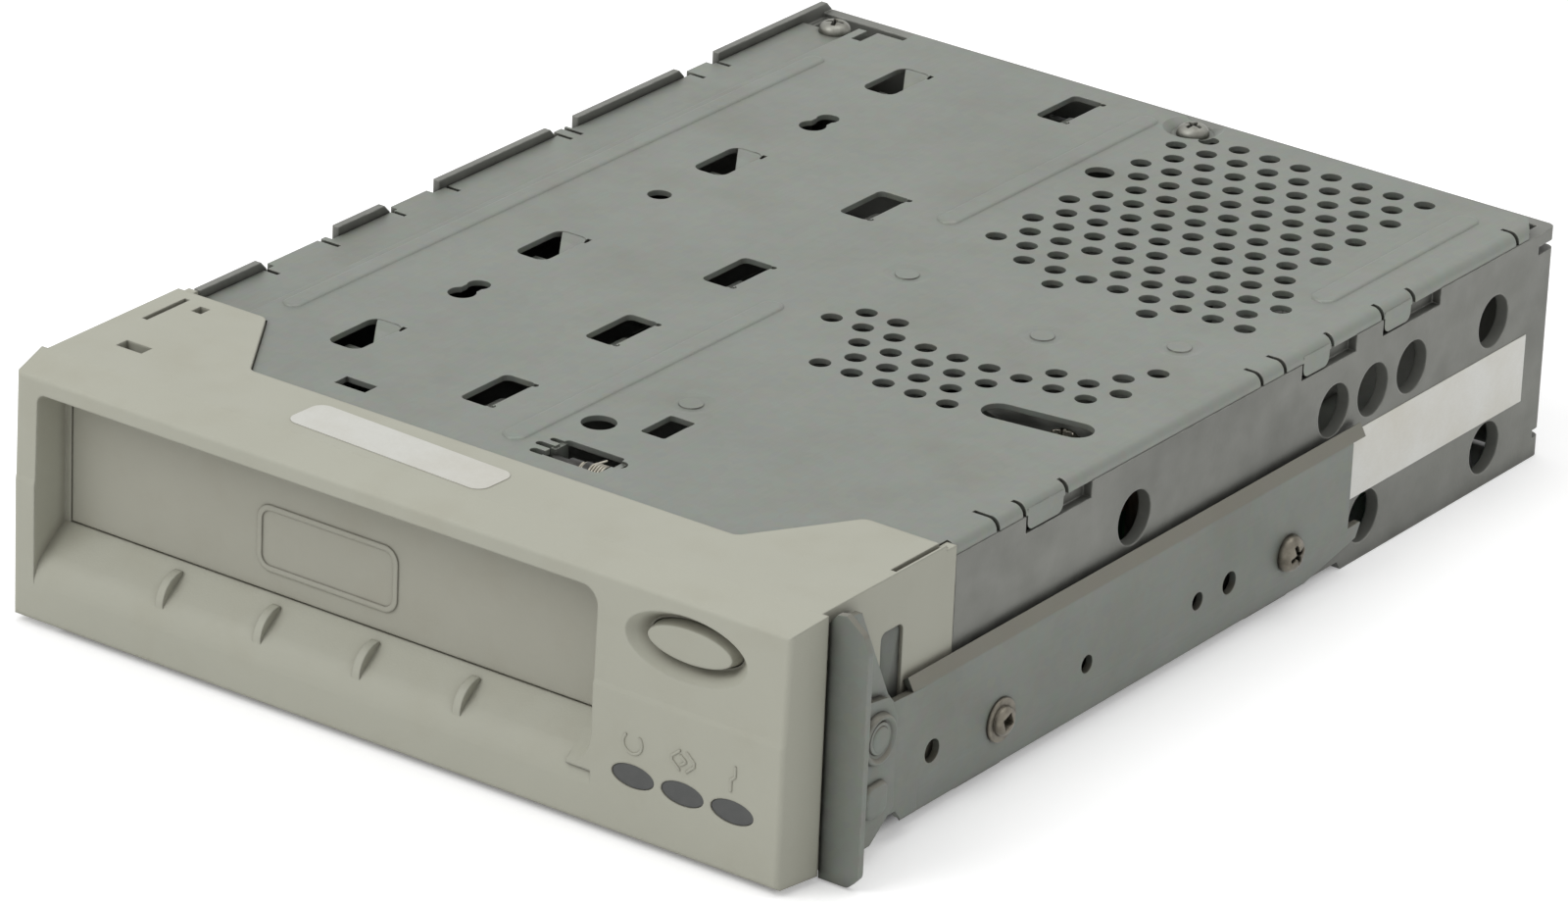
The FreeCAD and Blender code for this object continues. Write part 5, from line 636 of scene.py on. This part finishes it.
def door_spring_wires(material):
    """The door's torsion spring: turns round the hinge rod that stay, and a leg that goes with the door."""
    along, wire = (1, 0, 0), 0.22 * MM
    turns = coil_path(place(-69.4, 10.2, 37.2), along, (0, 0, -1), 1.45 * MM, 1.5 * MM, 3.5,
                      before=np.array([0.0, 2.6, 0.0]) * MM)
    coil = spring_wire("door_spring_turns", turns, along, wire, material, "chassis")
    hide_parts("door_spring")
    step = np.linspace(0, 1, 12)[:, None]
    leg = place(-67.85, 10.1, 35.8) + step * np.array([1.1, -0.5, -3.7]) * MM
    spring_wire("door_spring_leg", leg, along, wire, material, "door")


def rounded_outline(corners, radii, steps=10):
    """A closed outline in a plane: each corner rounded by an arc of its own radius."""
    corners = np.asarray(corners, float)
    before, after = np.roll(corners, 1, axis=0), np.roll(corners, -1, axis=0)
    parts = []
    for corner, back, ahead, radius in zip(corners, before, after, radii):
        u = (back - corner) / np.linalg.norm(back - corner)
        v = (ahead - corner) / np.linalg.norm(ahead - corner)
        half = math.acos(float(np.clip(np.dot(u, v), -1, 1))) / 2
        middle = corner + (u + v) / np.linalg.norm(u + v) * radius / math.sin(half)
        start = corner + u * radius / math.tan(half) - middle
        end = corner + v * radius / math.tan(half) - middle
        t = np.linspace(0, 1, steps)[:, None]
        arc = start * (1 - t) + end * t
        parts.append(middle + arc / np.linalg.norm(arc, axis=1)[:, None] * radius)
    return np.concatenate(parts)


def pressed_plate(name, outline, middle, layers, material, side=1):
    """A closed plate of sheet that faces along x. Each layer is (x, share): the outline drawn in
    about its middle by share, at that x; outline and middle are (y, z) in the drive's millimetres,
    and side is 1 for the drive's right and -1 for its left."""
    outline, middle = np.asarray(outline, float), np.asarray(middle, float)
    rows = []
    for x, share in layers:
        flat = middle + (outline - middle) * share
        rows.append(np.stack([np.full(len(flat), CENTRE_X + side * x * MM), FRONT_Y + flat[:, 0] * MM,
                              flat[:, 1] * MM], -1))
    rows = np.array(rows)
    if side > 0:
        rows = rows[:, ::-1]
    first = place(side * layers[0][0], *middle)
    last = place(side * layers[-1][0], *middle)
    return rounded_form(name, rows, material, "chassis", "sheet_steel", first_pole=first, last_pole=last)


def window_lugs(material):
    """The frame's lugs that fill the windows in the bezel's skirt, nearly flush with it."""
    front, rear, foot, top = 23.45, 28.75, 16.1, 34.25
    outline = rounded_outline([(front, foot), (rear, foot), (rear, top), (front, top)], (0.2, 0.2, 1.1, 1.1))
    for name, side in (("window_lug_right", 1), ("window_lug_left", -1)):
        pressed_plate(name, outline, (26.1, 25.2),
                      [(71.3, 1.0), (72.75, 1.0), (72.9, 0.985), (72.95, 0.96)], material, side)


def clinch_joints(material):
    """The two clinches of the clip as they look pressed: a raised ring with a low middle, and a
    rounded square below it, laid over the solid's plain ones."""
    turn = np.linspace(0, 2 * math.pi, 72, endpoint=False)
    y, z, radius = 18.6, 20.3, 4.2
    ring = np.stack([y + radius * np.cos(turn), z + radius * np.sin(turn)], -1)
    pressed_plate("clinch_upper", ring, (y, z),
                  [(76.6, 1.0), (76.95, 0.99), (77.55, 0.93), (77.72, 0.86), (77.6, 0.78), (77.25, 0.70),
                   (77.2, 0.62), (77.2, 0.56), (77.45, 0.50), (77.55, 0.44), (77.56, 0.3)], material)
    square = rounded_outline([(15.6, 7.6), (21.2, 7.6), (21.2, 13.3), (15.6, 13.3)], (1.6, 1.6, 1.6, 1.6))
    pressed_plate("clinch_lower", square, (18.4, 10.45),
                  [(76.6, 1.0), (76.9, 0.98), (77.35, 0.92), (77.53, 0.84), (77.56, 0.7), (77.56, 0.3)],
                  material)


def moulded_ridge(name, path, width, high, material):
    """A low rounded ridge on the bezel's face along a path of (x, z) points in the drive's
    millimetres: width / 2 * cos(a) across the path and high * sin(a) out of the face. It narrows to
    nothing at both ends by a square root, so that they are round; a path that ends near where it
    began keeps its width."""
    path = np.asarray(path, float)
    open_ended = np.linalg.norm(path[0] - path[-1]) > 0.01
    along = np.gradient(path, axis=0)
    along /= np.linalg.norm(along, axis=1)[:, None]
    across = np.stack([-along[:, 1], along[:, 0]], -1)
    run = np.concatenate([[0], np.cumsum(np.linalg.norm(np.diff(path, axis=0), axis=1))])
    end = np.minimum(run, run[-1] - run)
    narrow = np.sqrt(np.clip(end / (width / 2), 1e-4, 1)) if open_ended else 1
    angle = np.linspace(0, 2 * math.pi, 16, endpoint=False)
    out = np.cos(angle)[None] * width / 2 * np.ones(len(path))[:, None] * np.reshape(narrow, (-1, 1))
    lift = np.sin(angle)[None] * high * np.ones(len(path))[:, None]
    flat = path[:, None] + out[..., None] * across[:, None]
    x = CENTRE_X + flat[..., 0] * MM
    y = FRONT_Y - lift * MM
    z = flat[..., 1] * MM
    rows = np.stack([x, y, z], -1)
    poles = (rows[0].mean(0), rows[-1].mean(0)) if open_ended else (None, None)
    return rounded_form(name, rows, material, "chassis", "bezel_plastic", *poles)


def polyline(corners, step=0.05):
    """Points every step along straight runs between corners."""
    corners = np.asarray(corners, float)
    run = np.concatenate([[0], np.cumsum(np.linalg.norm(np.diff(corners, axis=0), axis=1))])
    at = np.linspace(0, run[-1], max(8, int(run[-1] / step)))
    return np.stack([np.interp(at, run, corners[:, 0]), np.interp(at, run, corners[:, 1])], -1)


def indicator_signs(material):
    """Three plain raised signs over the lenses: a ring open at its top, a broken diamond round an
    arrow, and a line with a step in it."""
    z = 16.7
    first, pitch = 46.35, 9.05
    sweep = np.radians(np.linspace(130, 410, 90))
    ring = np.stack([first - 0.2 + 1.7 * np.cos(sweep), z + 1.7 * np.sin(sweep)], -1)
    x = first + pitch
    left = polyline([(x - 0.5, z + 1.7), (x - 2.1, z + 0.3), (x - 2.1, z - 0.3), (x - 0.5, z - 1.7)])
    right = polyline([(x + 0.5, z + 1.7), (x + 2.0, z + 0.3), (x + 2.0, z - 0.3), (x + 0.5, z - 1.7)])
    arrow = polyline([(x - 0.6, z - 0.9), (x + 0.5, z), (x - 0.6, z + 0.9)])
    x = first + 2 * pitch
    stepped = polyline([(x + 0.35, z + 2.2), (x + 0.35, z + 0.4), (x - 0.35, z - 0.2), (x - 0.35, z - 2.2)])
    signs = [moulded_ridge(name, path, 0.5, 0.2, material)
             for name, path in (("ring", ring), ("left", left), ("right", right), ("arrow", arrow),
                                ("stepped", stepped))]
    return joined("indicator_signs", signs)


# Light, floor and background
def looked_at(tree):
    """1 for a ray that comes from the camera, off a gloss or through a clear material, 0 for one that
    only carries light."""
    rays = add(tree, "ShaderNodeLightPath")
    return both(tree, "MAXIMUM", rays.outputs["Is Camera Ray"],
                both(tree, "MAXIMUM", rays.outputs["Is Glossy Ray"], rays.outputs["Is Transmission Ray"]))


def white_room():
    """A white world: plain ambient light on the object, and full white where the camera, a glossy
    ray or a clear material looks past it."""
    world = bpy.data.worlds.new("white_room")
    bpy.context.scene.world = world
    world.use_nodes = True
    tree = world.node_tree
    tree.nodes.clear()
    ambient = add(tree, "ShaderNodeBackground", {"Color": (1, 1, 1, 1), "Strength": 0.62})
    white = add(tree, "ShaderNodeBackground", {"Color": (1, 1, 1, 1), "Strength": 1.0})
    mixed = add(tree, "ShaderNodeMixShader", {0: looked_at(tree), 1: ambient.outputs[0],
                                              2: white.outputs[0]})
    out = add(tree, "ShaderNodeOutputWorld")
    tree.links.new(mixed.outputs[0], out.inputs["Surface"])


def pale_floor():
    """A wide pale floor that shows white to the camera and keeps the drive's shadow: it glows a
    little, but not under the drive."""
    half = 6.0
    inset = 8 * MM
    points = np.array([[-half, -half, 0], [half, -half, 0], [half, half, 0], [-half, half, 0]])
    mesh = bpy.data.meshes.new("pale_floor")
    mesh.from_pydata((points - [0, 0, 0.00005]).tolist(), [], [(0, 1, 2, 3)])
    floor = bpy.data.objects.new("pale_floor", mesh)
    bpy.context.scene.collection.objects.link(floor)
    material, tree, shader = new_finish("pale_floor", specular=0.0)
    shader.inputs["Base Color"].default_value = (0.88, 0.88, 0.88, 1)
    shader.inputs["Roughness"].default_value = 1.0
    spot = add(tree, "ShaderNodeSeparateXYZ", {0: coordinates(tree)})
    low, high = cad_box
    out_x = both(tree, "MAXIMUM", both(tree, "SUBTRACT", low[0] + inset, spot.outputs["X"]),
                 both(tree, "SUBTRACT", spot.outputs["X"], high[0] - inset))
    out_y = both(tree, "MAXIMUM", both(tree, "SUBTRACT", low[1], spot.outputs["Y"]),
                 both(tree, "SUBTRACT", spot.outputs["Y"], high[1]))
    clear = ramp(tree, both(tree, "MAXIMUM", out_x, out_y), -4 * MM, -1 * MM, 0.0, 0.30)
    glow = add(tree, "ShaderNodeEmission", {"Color": (1, 1, 1, 1),
                                            "Strength": both(tree, "MULTIPLY", looked_at(tree), clear)})
    total = add(tree, "ShaderNodeAddShader", {0: shader.outputs[0], 1: glow.outputs[0]})
    out = tree.nodes["Material Output"]
    tree.links.new(total.outputs[0], out.inputs["Surface"])
    dress(floor, material)


def soft_lamp(name, spot, aim, size, power):
    """A square soft lamp that faces a point."""
    data = bpy.data.lights.new(name, "AREA")
    data.size = size
    data.energy = power
    lamp = bpy.data.objects.new(name, data)
    lamp.location = spot
    lamp.rotation_mode = "QUATERNION"
    lamp.rotation_quaternion = (Vector(spot) - Vector(aim)).to_track_quat("Z", "Y")
    bpy.context.scene.collection.objects.link(lamp)


photograph_camera()
white_room()
pale_floor()
soft_lamp("key_lamp", (-0.9, -1.5, 1.9), (0, 0, 0.03), 1.6, 26.0)
soft_lamp("top_lamp", (0.2, 0.5, 2.2), (0, 0, 0.03), 1.8, 14.0)
bpy.context.scene.view_settings.view_transform = "Standard"

# The drive: each node in its finish, then the pieces that stand for some of them or join them
finish = finishes()
slots = {part["node"]: part["material_slot"] for part in frame["record"]["subparts"]}
for node, thing in nodes.items():
    dress(thing, finish[slots[node]])
for node, own in (("right_rail", "rail_steel"), ("rail_clip", "rail_steel"),
                  ("cartridge_door", "door_plastic"), ("eject_button", "button_plastic"),
                  ("barcode_label", "label_film")):
    dress(nodes[node], finish[own])

bright, dull, worn = finish["bright_steel"], finish["dull_steel"], finish["worn_steel"]
up, down, right = (0, 0, 1), (0, 0, -1), (1, 0, 0)
screws("cover_screw_heads", "cover_screws",
       pan_heads("cover_screw", COVER_SCREWS, up, 2.75 * MM, 1.8 * MM, dull))
screws("rail_screw_rear_head", "rail_screw_rear",
       pan_heads("rail_screw", [RAIL_SCREW_REAR], right, 3.1 * MM, 2.0 * MM, worn))
screws("rail_screw_front_head", "rail_screw_front",
       [screw_head("rail_screw_front_head", place(*RAIL_SCREW_FRONT), right, 2.5 * MM, 1.6 * MM, worn,
                   lambda x, y: square_recess(x, y, 1.1 * MM, 1.2 * MM, 0.35), crown=6.0,
                   washer=(3.6 * MM, 0.5 * MM))])
screws("board_screw_heads", "board_screws",
       pan_heads("board_screw", BOARD_SCREWS, down, 2.8 * MM, 1.7 * MM, bright))
screws("bridge_screw_heads", "bridge_screws",
       pan_heads("bridge_foot", BRIDGE_FEET, down, 2.75 * MM, 1.8 * MM, bright)
       + pan_heads("bridge_top", [BRIDGE_TOP_SCREW], up, 2.9 * MM, 2.0 * MM, bright))
screws("stator_screw_heads", "stator_screws",
       pan_heads("stator_screw", STATOR_SCREWS, down, 2.4 * MM, 1.3 * MM, bright))
latch_pin_and_spring(bright, finish["dark_steel"])
button_spring_wire(bright)
door_spring_wires(bright)
window_lugs(finish["lug_steel"])
clinch_joints(finish["rail_steel"])
indicator_signs(finish["bezel_plastic"])
